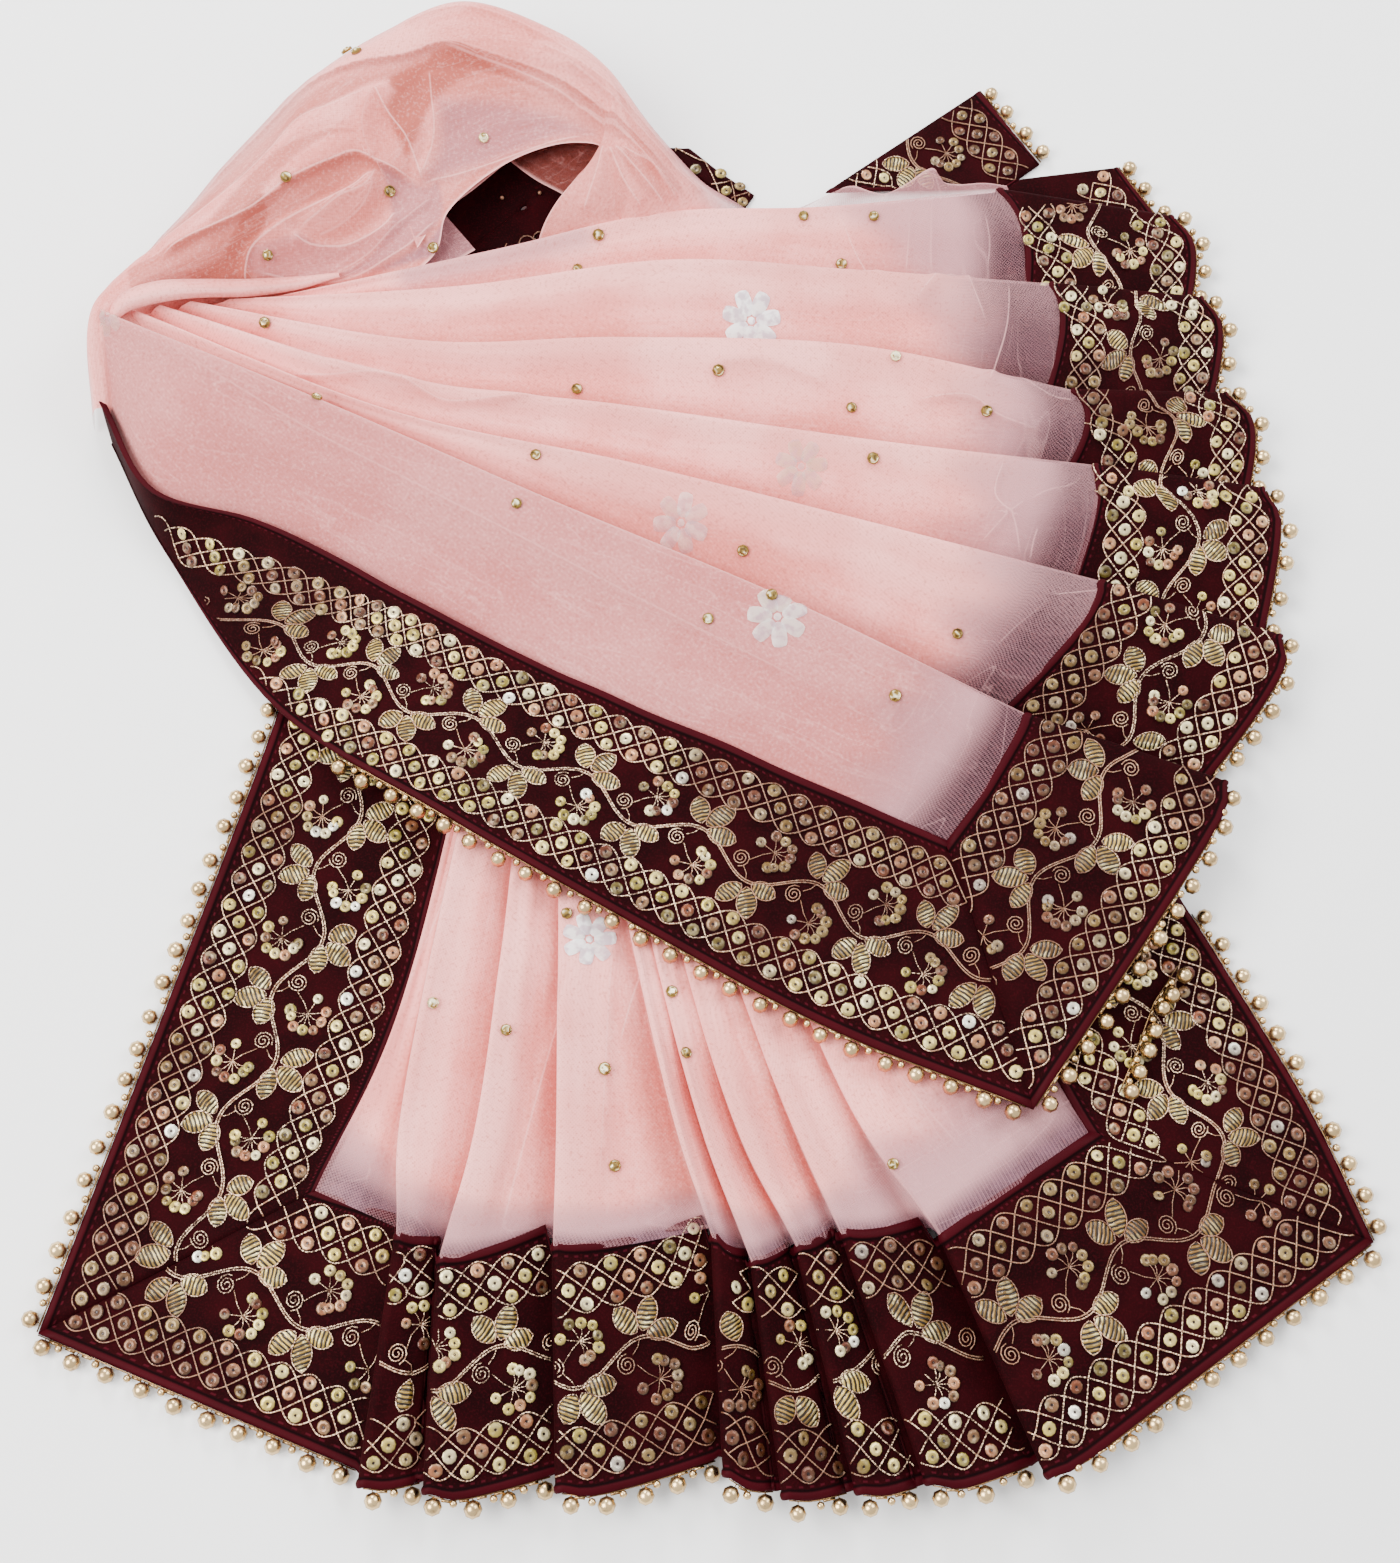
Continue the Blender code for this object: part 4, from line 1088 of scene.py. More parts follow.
# %% Both fans of net
LOWER_CREASES = tuple(Crease(*row) for row in (
    (((-44, -61), (-55, -105), (-69, -165)), 1, 5, 1, 0.5, 0.3),
    (((-19, -61), (-24, -77), (-28, -93)), 0.8, 4, 1, 0.5, 0.2),
    (((-87, -26), (-106, -76), (-130, -140)), 0.6, 3, 1, 0.6, 0.2),
    (((-30, -40), (-32, -90), (-34, -150)), 0.7, 1, 5, 0.35, 0.25),
    (((30, -40), (62, -95), (92, -135)), 0.7, 6, 1, 0.35, 0.2),
))
LOWER_SHADES = tuple(Shade(*row) for row in (
    (((70, -60), (105, -100), (124, -124)), 16, "dim", 0.42),
))
UPPER_CREASES = tuple(Crease(*row) for row in (
    (((-166, 159), (-140, 157), (-116, 156), (-96, 147), (-76, 148), (-55, 152)), 1.4, 5, 0.9, 0.6, 0.35),
    (((-104, 152), (-120, 160), (-142, 164)), 1, 4, 0.9, 0.35, 0.2),
    (((-205, 168), (-150, 135), (-90, 103), (-20, 66), (60, 24)), 0.7, 6, 1.2, 0.25, 0.15),
    (((0, 167), (23, 169), (38, 165), (51, 160)), 1.2, 5, 1, 0.45, 0.2),
    (((55, 239), (61, 224), (73, 204)), 0.9, 3, 0.9, 0.55, 0),
    (((79, 193), (92, 209), (98, 215), (103, 213), (108, 200), (113, 188)), 1.6, 0.9, 4, 0.8, 0.2),
    (((121, 210), (120, 190), (115, 173), (110, 159)), 1.5, 1, 2.5, 0.9, 0),
    (((93, 251), (92, 233), (92, 215)), 0.8, 0.8, 3, 0.6, 0),
    (((84, 243), (83, 229), (82, 216)), 0.6, 0.8, 2, 0.5, 0),
    (((113, 241), (115, 229), (114, 218)), 0.9, 2, 0.8, 0.7, 0),
    (((120, 165), (134, 156), (144, 154)), 0.9, 2, 0.8, 0.8, 0),
    (((79, 155), (102, 157), (115, 149), (134, 142)), 1, 4, 0.9, 0.6, 0.35),
    (((116, 130), (111, 115), (118, 106), (121, 91)), 0.9, 0.9, 2.5, 0.8, 0),
    (((123, 112), (131, 116), (140, 118), (144, 122)), 0.8, 0.8, 2, 0.7, 0),
    (((127, 103), (125, 97), (124, 91)), 0.7, 2, 0.8, 0.8, 0),
    (((105, 97), (115, 107), (123, 113)), 0.7, 0.8, 2, 0.6, 0),
    (((127, 71), (138, 72), (148, 73)), 0.6, 1.5, 0.8, 0.8, 0),
    (((108, 53), (117, 61), (126, 68), (134, 80)), 0.6, 1.5, 0.8, 0.4, 0),
))
UPPER_SHADES = tuple(Shade(*row) for row in (
    (((-112, 206), (-92, 211), (-72, 217), (-48, 225)), 7, "dim", 0.7),
    (((-150, 165), (-90, 140), (-20, 105), (40, 75)), 7, "deep", 0.25),
    (((20, 215), (60, 214), (100, 212)), 8, "deep", 0.3),
    (((60, 35), (100, 8)), 26, "dim", 0.35),
    (((-150, 110), (-80, 68), (0, 25)), 14, "dim", 0.22),
))
lower_fan, lower_places = fan_net("net_fan_lower", "net_lower_fan", LOWER_NET, lower_line, 120, 20, LOWER_CREASES,
                                  LOWER_SHADES, border=LOWER_FOLDS)
upper_fan, upper_places = fan_net("net_fan_upper", "net_upper_fan", UPPER_NET, upper_line, 230, 24, UPPER_CREASES,
                                  UPPER_SHADES, front_dim=0.36, border=UPPER_FOLDS)


# %% [markdown]
# ## The turn of the cloth
# Between its two ends the stole is turned over in an arch, and a small hollow stays open inside it, through which the
# border on the far edge shows. The arch is one sheet: sections across it carry a crest and two edges, and the
# creases that a hand leaves when it arranges the cloth are added from a table of their own.

# %% Sections of the arch
Section = namedtuple("Section", "outer inner crest inner_z crest_at")
ARCH = tuple(Section(*row) for row in (
    ((-236, 150), (-216, 150), 19, 16, .35), ((-239, 178), (-210, 173), 42, 35, .45),
    ((-236, 200), (-198, 180), 42, 26, .5), ((-221, 223), (-174, 186), 42, 18, .5),
    ((-205, 246), (-148, 194), 43, 16, .45), ((-187, 274), (-126, 200.5), 44, 16, .42),
    ((-162, 304), (-104, 215), 45, 22, .36), ((-132, 325), (-98, 232), 46, 27, .33),
    ((-98, 337), (-79, 250), 47, 29, .33), ((-58, 322), (-56, 260), 45, 30, .4),
    ((-35, 303), (-39, 259), 42, 30, .45), ((-14, 279), (-48, 248), 37, 27, .45),
    ((4, 259.4), (-57, 236), 31, 25, .42), ((18, 250.7), (-63, 226), 24, 19, .4),
    ((26, 243), (-66, 214), 12, 8, .4),
))
ARCH_CREASES = tuple(Crease(*row) for row in (
    (((-222, 196), (-206, 209), (-191, 221), (-177, 234), (-166, 247), (-156, 261), (-143, 267), (-127, 276)), 1.6,
     0.9, 8, 0.44, 0.52),
    (((-205, 200), (-194, 208), (-183, 214), (-170, 222), (-157, 234), (-142, 244), (-133, 249), (-125, 247),
      (-108, 242)), 3, 9, 0.8, 0.61, 0.92),
    (((-200, 229), (-183, 249), (-169, 266), (-156, 279), (-137, 285), (-115, 289), (-102, 294), (-90, 293),
      (-71, 288), (-53, 281), (-35, 268), (-21, 256), (-8, 247)), 2.6, 9, 0.8, 0.19, 0.77),
    (((-102, 294), (-86, 290), (-70, 285), (-53, 277), (-35, 264), (-21, 252), (-12, 242)), 1.2, 2.5, 0.8, 0.41, 0.62),
    (((-127, 276), (-122, 267), (-114, 257), (-108, 242)), 2.2, 7, 0.8, 0.58, 0.52),
    (((-106, 285), (-105, 274), (-104, 265), (-105, 256), (-109, 243)), 1.6, 6, 0.8, 0.41, 0.47),
    (((-127, 276), (-131, 262), (-129, 252), (-126, 248)), 1, 4, 0.8, 0.2, 0.32),
    (((-109, 242), (-94, 247), (-78, 253), (-59, 260.5), (-46, 263.5)), 0.8, 3, 0.8, 0.51, 0.22),
    (((-175, 197), (-174, 203), (-171, 210), (-161, 219), (-148, 228), (-135, 236), (-126, 245)), 3, 0.8, 7, 0.54,
     0.57),
    (((-157, 217), (-151, 215), (-143, 216), (-136, 218), (-124, 225), (-118, 232)), 1.6, 0.8, 4.5, 0.61, 0.52),
    (((-154, 219), (-147, 225), (-139, 232), (-129, 238), (-126, 246)), 1.2, 0.8, 4, 0.41, 0.42),
    (((-148, 218), (-140, 223), (-131, 231), (-126, 240)), 0.7, 0.8, 3, 0.31, 0.32),
    (((-172, 202), (-158, 203), (-148, 203), (-134, 207), (-120, 215), (-112, 220), (-101, 230)), 2, 5, 0.8, 0.51,
     0.52),
    (((-143, 206), (-129, 215), (-118, 226), (-104, 238)), 1, 3, 0.8, 0.31, 0.42),
    (((-38, 258), (-41, 247), (-46, 234)), 1.4, 4, 0.8, 0.48, 0.42),
    (((-36, 257), (-30, 244), (-23, 236)), 1.3, 4, 0.8, 0.54, 0.42),
    (((-34, 256), (-23, 246), (-14, 238)), 1.3, 4, 0.8, 0.54, 0.47),
    (((-31, 255), (-18, 249), (-9, 240)), 1.2, 3, 0.8, 0.48, 0.47),
    (((-48, 274), (-36, 266), (-26, 257), (-18, 249), (-6, 240)), 1, 3, 0.8, 0.34, 0.42),
    (((-55, 290), (-39, 278), (-24, 264), (-8, 252), (2, 245)), 1, 5, 0.8, 0.27, 0.42),
    (((-65, 296), (-47, 287), (-31, 275), (-18, 265), (-7, 255)), 0.8, 4, 0.8, 0.24, 0.42),
    (((-120, 305), (-95, 312), (-70, 304), (-48, 290)), 0.9, 5, 1, 0.17, 0.42),
    (((-215, 218), (-196, 240), (-178, 262), (-158, 284)), 0.9, 5, 1, 0.2, 0.42),
    (((-224, 206), (-208, 228), (-190, 250), (-170, 274), (-150, 292)), 0.7, 4, 1, 0.2, 0.32),
))
# Regions of painted shade inside the arch and its hollow, and of dimmer net.
ARCH_REGIONS = tuple(Region(*row) for row in (
    (((-225, 192), (-206, 207), (-190, 221), (-177, 233), (-166, 246), (-156, 260), (-143, 267), (-127, 276),
      (-116, 277), (-102, 280), (-104, 292), (-118, 289), (-138, 285), (-156, 278), (-170, 264), (-184, 247),
      (-199, 229), (-216, 208)), "deep", 0.62, 5),
    (((-184, 231), (-177, 242), (-167, 257), (-155, 275), (-136, 282), (-125, 284), (-102, 292), (-102, 281),
      (-115, 278), (-127, 276), (-143, 266), (-156, 259), (-165, 245), (-175, 233)), "deep", 0.7, 3),
    (((-217, 197), (-196, 208), (-179, 218), (-165, 227), (-156, 233), (-143, 242), (-135, 247), (-126, 248),
      (-126, 244), (-135, 236), (-148, 228), (-161, 220), (-171, 210), (-174, 203), (-174, 197), (-189, 191),
      (-202, 187), (-213, 184)), "deep", 0.62, 1.2),
    (((-200, 197), (-183, 208), (-170, 218), (-157, 228), (-143, 238), (-134, 241), (-137, 235), (-148, 228),
      (-161, 220), (-172, 210), (-175, 203), (-175, 196), (-189, 191)), "deep", 0.95, 5),
    (((-109, 289), (-103, 294), (-90, 294), (-71, 286), (-53, 277), (-47, 273), (-65, 279), (-86, 284), (-104, 282),
      (-111, 275), (-118, 272), (-123, 281)), "deep", 0.95, 3.5),
    (((-123, 284), (-103, 293), (-90, 293), (-71, 285), (-50, 275), (-60, 273), (-82, 275), (-103, 271), (-112, 262),
      (-120, 266)), "deep", 0.6, 6),
    (((-125, 247), (-108, 242), (-102, 244), (-101, 228), (-120, 214), (-134, 207), (-143, 206), (-129, 215),
      (-121, 227), (-122, 238)), "dim", 0.55, 2),
    (((-104, 275), (-83, 278), (-59, 274), (-45, 268), (-41, 264), (-46, 263), (-59, 260), (-78, 252), (-94, 246),
      (-109, 241), (-104, 256)), "dim", 0.62, 6),
    (((-132, 208), (-109, 220), (-100, 229), (-96, 232), (-86, 212), (-104, 214)), "dim", 0.8, 2),
    (((-41, 266), (-31, 258), (-12, 243), (-20, 238), (-35, 253)), "deep", 0.5, 2.5),
    (((-70, 286), (-53, 277), (-35, 264), (-21, 252), (-12, 241), (-6, 246), (-22, 259), (-38, 272), (-55, 284)),
     "deep", 0.55, 2.5),
    (((-40, 262), (-32, 256), (-28, 236), (-50, 228), (-58, 232)), "deep", 0.5, 2),
    (((-171, 210), (-156, 217), (-147, 216), (-138, 217), (-129, 222), (-121, 227), (-117, 225), (-129, 214),
      (-143, 206), (-157, 203), (-171, 201), (-174, 205)), "dim", 0.35, 1.5),
    (((-188, 191), (-172, 191), (-171, 199), (-168, 209), (-164, 218), (-163, 225), (-168, 229), (-175, 222),
      (-182, 210), (-188, 197), (-188, 191)), "deep", 0.95, 3.5),
    (((-171, 236), (-167, 233), (-160, 243), (-149, 252), (-136, 257), (-127, 252), (-131, 260), (-142, 262),
      (-155, 257), (-164, 247), (-171, 236)), "deep", 0.35, 3),
    (((-124, 268), (-118, 280), (-107, 288), (-101, 291), (-91, 289), (-82, 284), (-93, 280), (-104, 269), (-109, 256),
      (-113, 246), (-119, 255), (-124, 268)), "deep", 0.9, 4),
    (((-43, 263), (-37, 255), (-33, 245), (-30, 237), (-38, 234), (-45, 236), (-52, 237), (-47, 252), (-43, 263)),
     "deep", 0.4, 2.5),
    (((-167, 222), (-157, 236), (-144, 245), (-133, 249), (-126, 245), (-132, 233), (-145, 222), (-159, 217),
      (-167, 222)), "deep", 0.5, 2.5),
    (((-189, 202), (-172, 200), (-171, 208), (-173, 214), (-167, 224), (-162, 233), (-152, 245), (-141, 253),
      (-131, 255), (-133, 258), (-147, 257), (-163, 248), (-176, 233), (-187, 214), (-189, 202)), "deep", 0.7, 3),
))
OUTER_SHEER = 0.75
print("sections:", len(ARCH))


# %% The arch
ARCH_LENGTHWAYS = 400
ARCH_ACROSS = 150


def arch_net():
    points = []
    tones = []
    lanes = []
    outers, inners, *heights = zip(*ARCH)
    for share in even_shares(ARCH_LENGTHWAYS):
        outer = smooth_curve(outers, share)
        inner = smooth_curve(inners, share)
        crest, inner_z, crest_at = (smooth_value(values, share) for values in heights)
        for across in [place ** 1.1 for place in even_shares(ARCH_ACROSS)]:
            plan = outer.lerp(inner, across)
            if across < crest_at:
                height = 1 + (crest - 1) * sin(0.5 * pi * across / crest_at) ** 0.8
                height += 0.9 * sin(pi * across / crest_at) * waver(plan.x, plan.y, 14)
            else:
                fall = ease(crest_at, 1, across)
                height = mix(crest, inner_z, fall) + 0.8 * sin(tau * 2.5 * fall) * (1 - fall)
            points.append(raised(plan, height))
            sheer = OUTER_SHEER * (1 - ease(0, 0.3, across))
            # Painted shade grows down the arch's inner slope, and a painted highlight runs along its inner edge.
            tones.append((0.1 + 0.45 * ease(crest_at * 0.6, 1, across), 0.7 * ease(0.985, 1, across), sheer, 0))
            lanes.append(5 * across)
    points = np.array([tuple(point) for point in points])
    tones = blank_tones(tones)
    for crease in ARCH_CREASES:
        add_crease(points, tones, crease, 0.08)
    for region in ARCH_REGIONS:
        add_region(points, tones, region)
    shaped = points.reshape(ARCH_LENGTHWAYS, ARCH_ACROSS, 3)
    places = np.stack([grid_lengths(shaped, 0), grid_lengths(shaped, 1)], axis=2)
    piece = net_sheet("net_arch", points, ARCH_LENGTHWAYS, places.reshape(-1, 2), tones, lanes)
    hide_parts("net_loop")
    return piece, places


arch, arch_places = arch_net()


# %% [markdown]
# ## Two small pieces of the same net
# Where all the folds meet at the turn, a soft roll of net lies over them and hides their roots. Behind the upper end
# one more layer looks out, and its edge lies over the corner of the border.

# %% The roll and the layer behind
ROLL_PATH = ((-224, 174, 40), (-215, 181, 46), (-202, 186, 45.5), (-188, 190.5, 40.5), (-172, 194.5, 34),
             (-156, 200.5, 27.5), (-140, 205.5, 24))
ROLL_WIDTHS = (2.2, 4, 4.6, 4.2, 3.8, 3, 1.2)
ROLL_STEPS = 60
ROLL_SIDES = 13
ROLL_STEP = 1.67
ROLL_GIRTH_STEP = 0.86
BEHIND_STEPS = 70
BEHIND_ROWS = 9
BEHIND_FRONT = ((20, 243, 5), (60, 246, 8), (100, 247, 9), (126, 249, 9))
BEHIND_EDGE = ((24, 247, 2.5), (40, 249, 3), (52, 255, 4.5), (61, 258, 6), (69, 255, 6.5), (75, 254, 6.5), (83, 258, 7),
               (91, 264, 7.5), (95, 265, 7.5), (98, 259, 7.5), (105, 258, 7), (115, 259, 6.5), (124, 258, 6))


def small_net(name, grid, tones, lanes):
    points = [point for row in grid for point in row]
    places = [(3 * i, far) for i, row in enumerate(grid) for far in running_lengths(row)]
    return net_sheet(name, points, len(grid), places, blank_tones(tones), lanes)


def net_roll():
    """A soft half roll along its path, open beneath."""
    grid = []
    tones = []
    for share in even_shares(ROLL_STEPS):
        centre = smooth_curve(ROLL_PATH, share)
        ahead = smooth_curve(ROLL_PATH, min(share + 0.02, 1)) - smooth_curve(ROLL_PATH, max(share - 0.02, 0))
        side = Vector((-ahead.y, ahead.x, 0)).normalized()
        half = smooth_value(ROLL_WIDTHS, share)
        row = []
        for j in range(ROLL_SIDES):
            turn = pi * (j / (ROLL_SIDES - 1)) - 0.5 * pi
            drop = half * 0.62 * (1 - cos(turn)) + 0.4 * waver(centre.x, j, 5)
            row.append(centre + side * (half * sin(turn)) - UP * drop)
            # The flanks of the roll get painted shade and a little dimming, and one side near its top a painted
            # highlight.
            edge = abs(sin(turn))
            tones.append((0.35 * edge, 0.35 * exp(-((turn + 0.5) / 0.3) ** 2), 0, 0.1 * edge))
        grid.append(row)
    lanes = [0.12 * j for j in range(ROLL_SIDES)] * ROLL_STEPS
    places = [[(ROLL_STEP * i, ROLL_GIRTH_STEP * j) for j in range(ROLL_SIDES)] for i in range(ROLL_STEPS)]
    return small_net("net_roll", grid, tones, lanes), places


def net_behind():
    grid = []
    tones = []
    lanes = []
    for share in even_shares(BEHIND_STEPS):
        front = smooth_curve(BEHIND_FRONT, share)
        edge = smooth_curve(BEHIND_EDGE, share)
        row = []
        for place in even_shares(BEHIND_ROWS):
            rise = 1.2 * sin(pi * place) * (0.6 + 0.4 * sin(share * 23))
            row.append(front.lerp(edge, place) + UP * rise)
            # A little painted shade all over, and a painted highlight along the edge.
            tones.append((0.1, 0.75 * ease(0.9, 1, place), 0.75, 0))
            lanes.append(2 * share)
        grid.append(row)
    return small_net("net_behind", grid, tones, lanes), plan_places(grid)


roll, roll_places = net_roll()
behind, behind_places = net_behind()


# %% Layers that show in the hollow
HollowLayer = namedtuple("HollowLayer", "name upper upper_z lower lower_z deep sheer dim")
HOLLOW_STEPS = 40
HOLLOW_ROWS = 16
HOLLOW_LAYERS = (
    HollowLayer("net_hollow_left", ((-115, 230), (-108, 245), (-87, 260), (-67, 269)), 25,
                ((-110, 217), (-101, 232.8), (-88.5, 244.6), (-75.8, 256.9), (-64, 268)), 24, 0.35, 0, 0.25),
    HollowLayer("net_hollow_right", ((-62, 278.5), (-54, 273.7), (-44, 268), (-34, 260), (-28, 254)), 24,
                ((-80.7, 263.4), (-75.8, 259.2), (-65.3, 250), (-55.6, 244), (-46, 238)), 21, 1, 0.84, 0.1),
    HollowLayer("net_hollow_low", ((-125.6, 218), (-110.4, 228.4), (-102.1, 237.5)), 19,
                ((-117, 204.4), (-101.8, 212), (-88.4, 221)), 17, 0.1, 0.5, 0.6),
)


def hollow_layer(layer):
    grid = []
    tones = []
    shares = even_shares(HOLLOW_ROWS)
    for share in even_shares(HOLLOW_STEPS):
        upper = raised(smooth_curve(layer.upper, share), layer.upper_z)
        lower = raised(smooth_curve(layer.lower, share), layer.lower_z)
        row = [upper.lerp(lower, place) for place in shares]
        grid.append([point + UP * (0.8 * waver(point.x, point.y, 11)) for point in row])
        # Each layer's painted shade, and a painted highlight along its lower edge.
        tones += [(layer.deep, 0.75 * ease(0.93, 1, place), layer.sheer, layer.dim) for place in shares]
    lanes = [0.1 * j for j in range(HOLLOW_ROWS)] * HOLLOW_STEPS
    step = path_length([row[HOLLOW_ROWS // 2] for row in grid]) / (HOLLOW_STEPS - 1)
    places = [[(step * i, (row[-1] - row[0]).length * place) for place in shares] for i, row in enumerate(grid)]
    return small_net(layer.name, grid, tones, lanes), places


hollow_layers = [hollow_layer(layer) for layer in HOLLOW_LAYERS]


# %% [markdown]
# ## Layers folded beneath
# Near the seams the upper layer of net is thin enough to see through to the cloth folded below it, where the hidden
# part of each pleat brings its own velvet. So a second sheet with the same folds lies a little under each
# fan there. Under the upper end it is dark near the seam, as the velvet is; under the lower end it is a darker mauve
# there. Both are pale beyond it.

# %% Hidden layers
UNDER_DROP = 1.7
UPPER_DARK = ((0, 0), (12, 19), (32, 42), (15, 21), (12, 20), (26, 34), (11, 15))
LOWER_DARK = ((12, 10), (8, 7), (4, 5), (3, 4), (5, 7), (4, 4), (4, 5), (4, 6), (5, 9))


def under_material(name, dark_colour, pale_colour):
    shader = Shader(name, pale_colour, 0.8)
    mottle = shader.noise(160, 3)
    weave = shader.noise(700, 1)
    dark = shader.attribute("dark")
    shade = shader.blend(mottle.smooth(0.4, 0.65), dark_colour, tuple(1.6 * c for c in dark_colour))
    colour = shader.blend(dark, pale_colour, shade)
    shader.relief(weave, 0.2, 0.0003)
    return shader.give(Base_Color=colour, Roughness=0.8 + weave * 0.1, Specular_IOR_Level=0.1)


UNDER_UPPER = under_material("velvet_seen_through_net", (0.013, 0.003, 0.0055), (0.5, 0.245, 0.26))
UNDER_LOWER = under_material("darker_layer_under_lower_net", (0.075, 0.036, 0.048), (0.52, 0.26, 0.27))


def under_layer(name, folds, line, rows, steps, first, dark, material, border):
    piece, places = fan_net(name, None, folds, line, rows, steps, (), (), first, UNDER_DROP, material, border=border)
    kinds = [(entry[1], entry[2]) for entry in fan_row(folds, line, 1, steps, border)]
    depth = np.zeros(len(piece.data.vertices), np.float32)
    piece.data.attributes["depth"].data.foreach_get("value", depth)
    values = []
    for k, far in enumerate(depth):
        panel, u = kinds[k % len(kinds)]
        reach = mix(*dark[panel], u)
        values.append(1 - ease(reach * 0.55, reach * 1.75 + 1, float(far)))
    mark(piece, "dark", values)
    return piece, places


under_upper, under_upper_places = under_layer("net_under_upper", UPPER_NET, upper_line, 40, 10, 0.6,
                                              UPPER_DARK, UNDER_UPPER, UPPER_FOLDS)
under_lower, under_lower_places = under_layer("net_under_lower", LOWER_NET, lower_line, 30, 8, 0.62,
                                              LOWER_DARK, UNDER_LOWER, LOWER_FOLDS)

# %% [markdown]
# ## The border inside the loop
# Through the hollow a piece of the far border shows, lying deep between the folds, and a narrow strip of it
# looks out behind the arch on the right.

# %% Velvet at the loop
LOOP_FLOOR = ((-112, 212, 5), (-80, 212, 5), (-52, 224, 6), (-34, 242, 9), (-28, 260, 13), (-38, 276, 17),
              (-60, 274, 17), (-84, 262, 14), (-104, 246, 10), (-116, 230, 7))
LOOP_EDGE_INNER = ((-13.5, 279.4), (4.4, 260), (18.4, 251.1))
LOOP_EDGE_OUTER = ((-4, 279), (8, 268), (22, 257))
LOOP_EDGE_ROWS = ((0, 0.5), (0.25, 0.6), (0.5, 0.6), (0.7, 0.5), (0.8, 0.7), (0.88, 0.8), (0.94, 0.75), (1, 0.4))
LOOP_EDGE_STEPS = 24
FLOOR_RINGS = 9
FLOOR_SPOKES = 48


def loop_floor():
    """A soft, dished piece of velvet, from its middle out to its rim."""
    rim = [smooth_curve(LOOP_FLOOR + LOOP_FLOOR[:1], k / FLOOR_SPOKES) for k in range(FLOOR_SPOKES + 1)]
    middle = sum(rim[:-1], Vector()) / FLOOR_SPOKES
    grid = []
    for edge in rim:
        column = []
        for ring in range(FLOOR_RINGS):
            point = middle.lerp(edge, mix(0.03, 1, ring / (FLOOR_RINGS - 1)))
            point.z += 0.75 + 0.8 * waver(point.x, point.y, 6) * sin(pi * ring / (FLOOR_RINGS - 1))
            column.append(point)
        grid.append(column)
    places = [[(20 + p.x * 0.3, 37 + (p.y - middle.y) * 0.5) for p in column] for column in grid]
    piece, _ = thick_sheet("border_in_loop", grid, [0.7] * FLOOR_RINGS, places, VELVET)
    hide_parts("velvet_loop_inside")
    return piece, plan_places(grid)


def loop_edge():
    grid = []
    for share in even_shares(LOOP_EDGE_STEPS):
        inner = raised(smooth_curve(LOOP_EDGE_INNER, share), 0.8)
        outer = raised(smooth_curve(LOOP_EDGE_OUTER, share), 0.8)
        grid.append([inner.lerp(outer, place) for place, _ in LOOP_EDGE_ROWS])
    places = [[(2 * i, 10.2 * (1 - j / 7)) for j in range(8)] for i in range(LOOP_EDGE_STEPS)]
    halves = [half for _, half in LOOP_EDGE_ROWS]
    piece, face = thick_sheet("border_behind_loop", grid, halves, places, VELVET)
    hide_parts("velvet_loop_outside")
    return piece, places, columns_of(face, len(LOOP_EDGE_ROWS))


floor_velvet, floor_places = loop_floor()
edge_velvet, edge_places, edge_grid = loop_edge()
print("velvet at the loop:", floor_velvet.name, edge_velvet.name)


# %% [markdown]
# ## Bead edging
# A gold edging is sewn to every hem: large and small beads in turn on one thread, with a slim gold tube between
# them. Each bead is a small turned body, modelled once with eight sides and copied along the hem as arrays of
# points, because nearly a thousand of them are needed.

# %% Bead finish
def bead_material():
    shader = Shader("gold_beads", (0.62, 0.44, 0.22), 0.2, 1)
    tint = shader.attribute("tint")
    wear = shader.noise(500, 2)
    # The tint runs from dark to light gold and carries each bead's painted highlight and shade.
    gold = shader.blend(tint, (0.13, 0.065, 0.026), (0.8, 0.57, 0.29))
    colour = shader.blend(wear.smooth(0.55, 0.75) * 0.6, gold, (0.12, 0.06, 0.025))
    shader.relief(wear, 0.15, 0.0002)
    return shader.give(Base_Color=colour, Roughness=0.16 + wear * 0.2)


BEADS = bead_material()
print("beads:", BEADS.name)

# %% Turned bodies
LARGE_BEAD = 3.1
SMALL_BEAD = 1.45
BEAD_PITCH = 11.8
TUBE_RADIUS = 0.55
BEAD_CLEAR = 0.75
SOLID_SMALL = 2.1
SOLID_LARGE = 3.1
GROUND_GAP = 0.3
BEAD_SIDES = 8
BEAD_RINGS = 4


def ring_points(rings, sides):
    """The points of a turned body, from the radius, the height and the turn of each ring."""
    points = []
    for radius, height, turn in rings:
        for k in range(sides):
            angle = tau * (k + turn) / sides
            points.append((radius * cos(angle), radius * sin(angle), height))
    return points


def ring_faces(sides, rings, start=0):
    """The walls of a turned body, from its lowest ring up."""
    faces = []
    for a in range(start, start + sides * (rings - 1), sides):
        for k in range(sides):
            m = (k + 1) % sides
            faces.append((a + k, a + m, a + sides + m, a + sides + k))
    return faces


def bead_shape():
    angles = [pi * i / (BEAD_RINGS + 1) - pi / 2 for i in range(1, BEAD_RINGS + 1)]
    rings = ring_points([(cos(angle), sin(angle), 0) for angle in angles], BEAD_SIDES)
    top = 1 + BEAD_SIDES * (BEAD_RINGS - 1)
    faces = ring_faces(BEAD_SIDES, BEAD_RINGS, 1)
    for k in range(BEAD_SIDES):
        m = (k + 1) % BEAD_SIDES
        faces += [(0, 1 + m, 1 + k), (top + k, top + m, top + BEAD_SIDES)]
    return np.array([(0, 0, -1)] + rings + [(0, 0, 1)]), faces


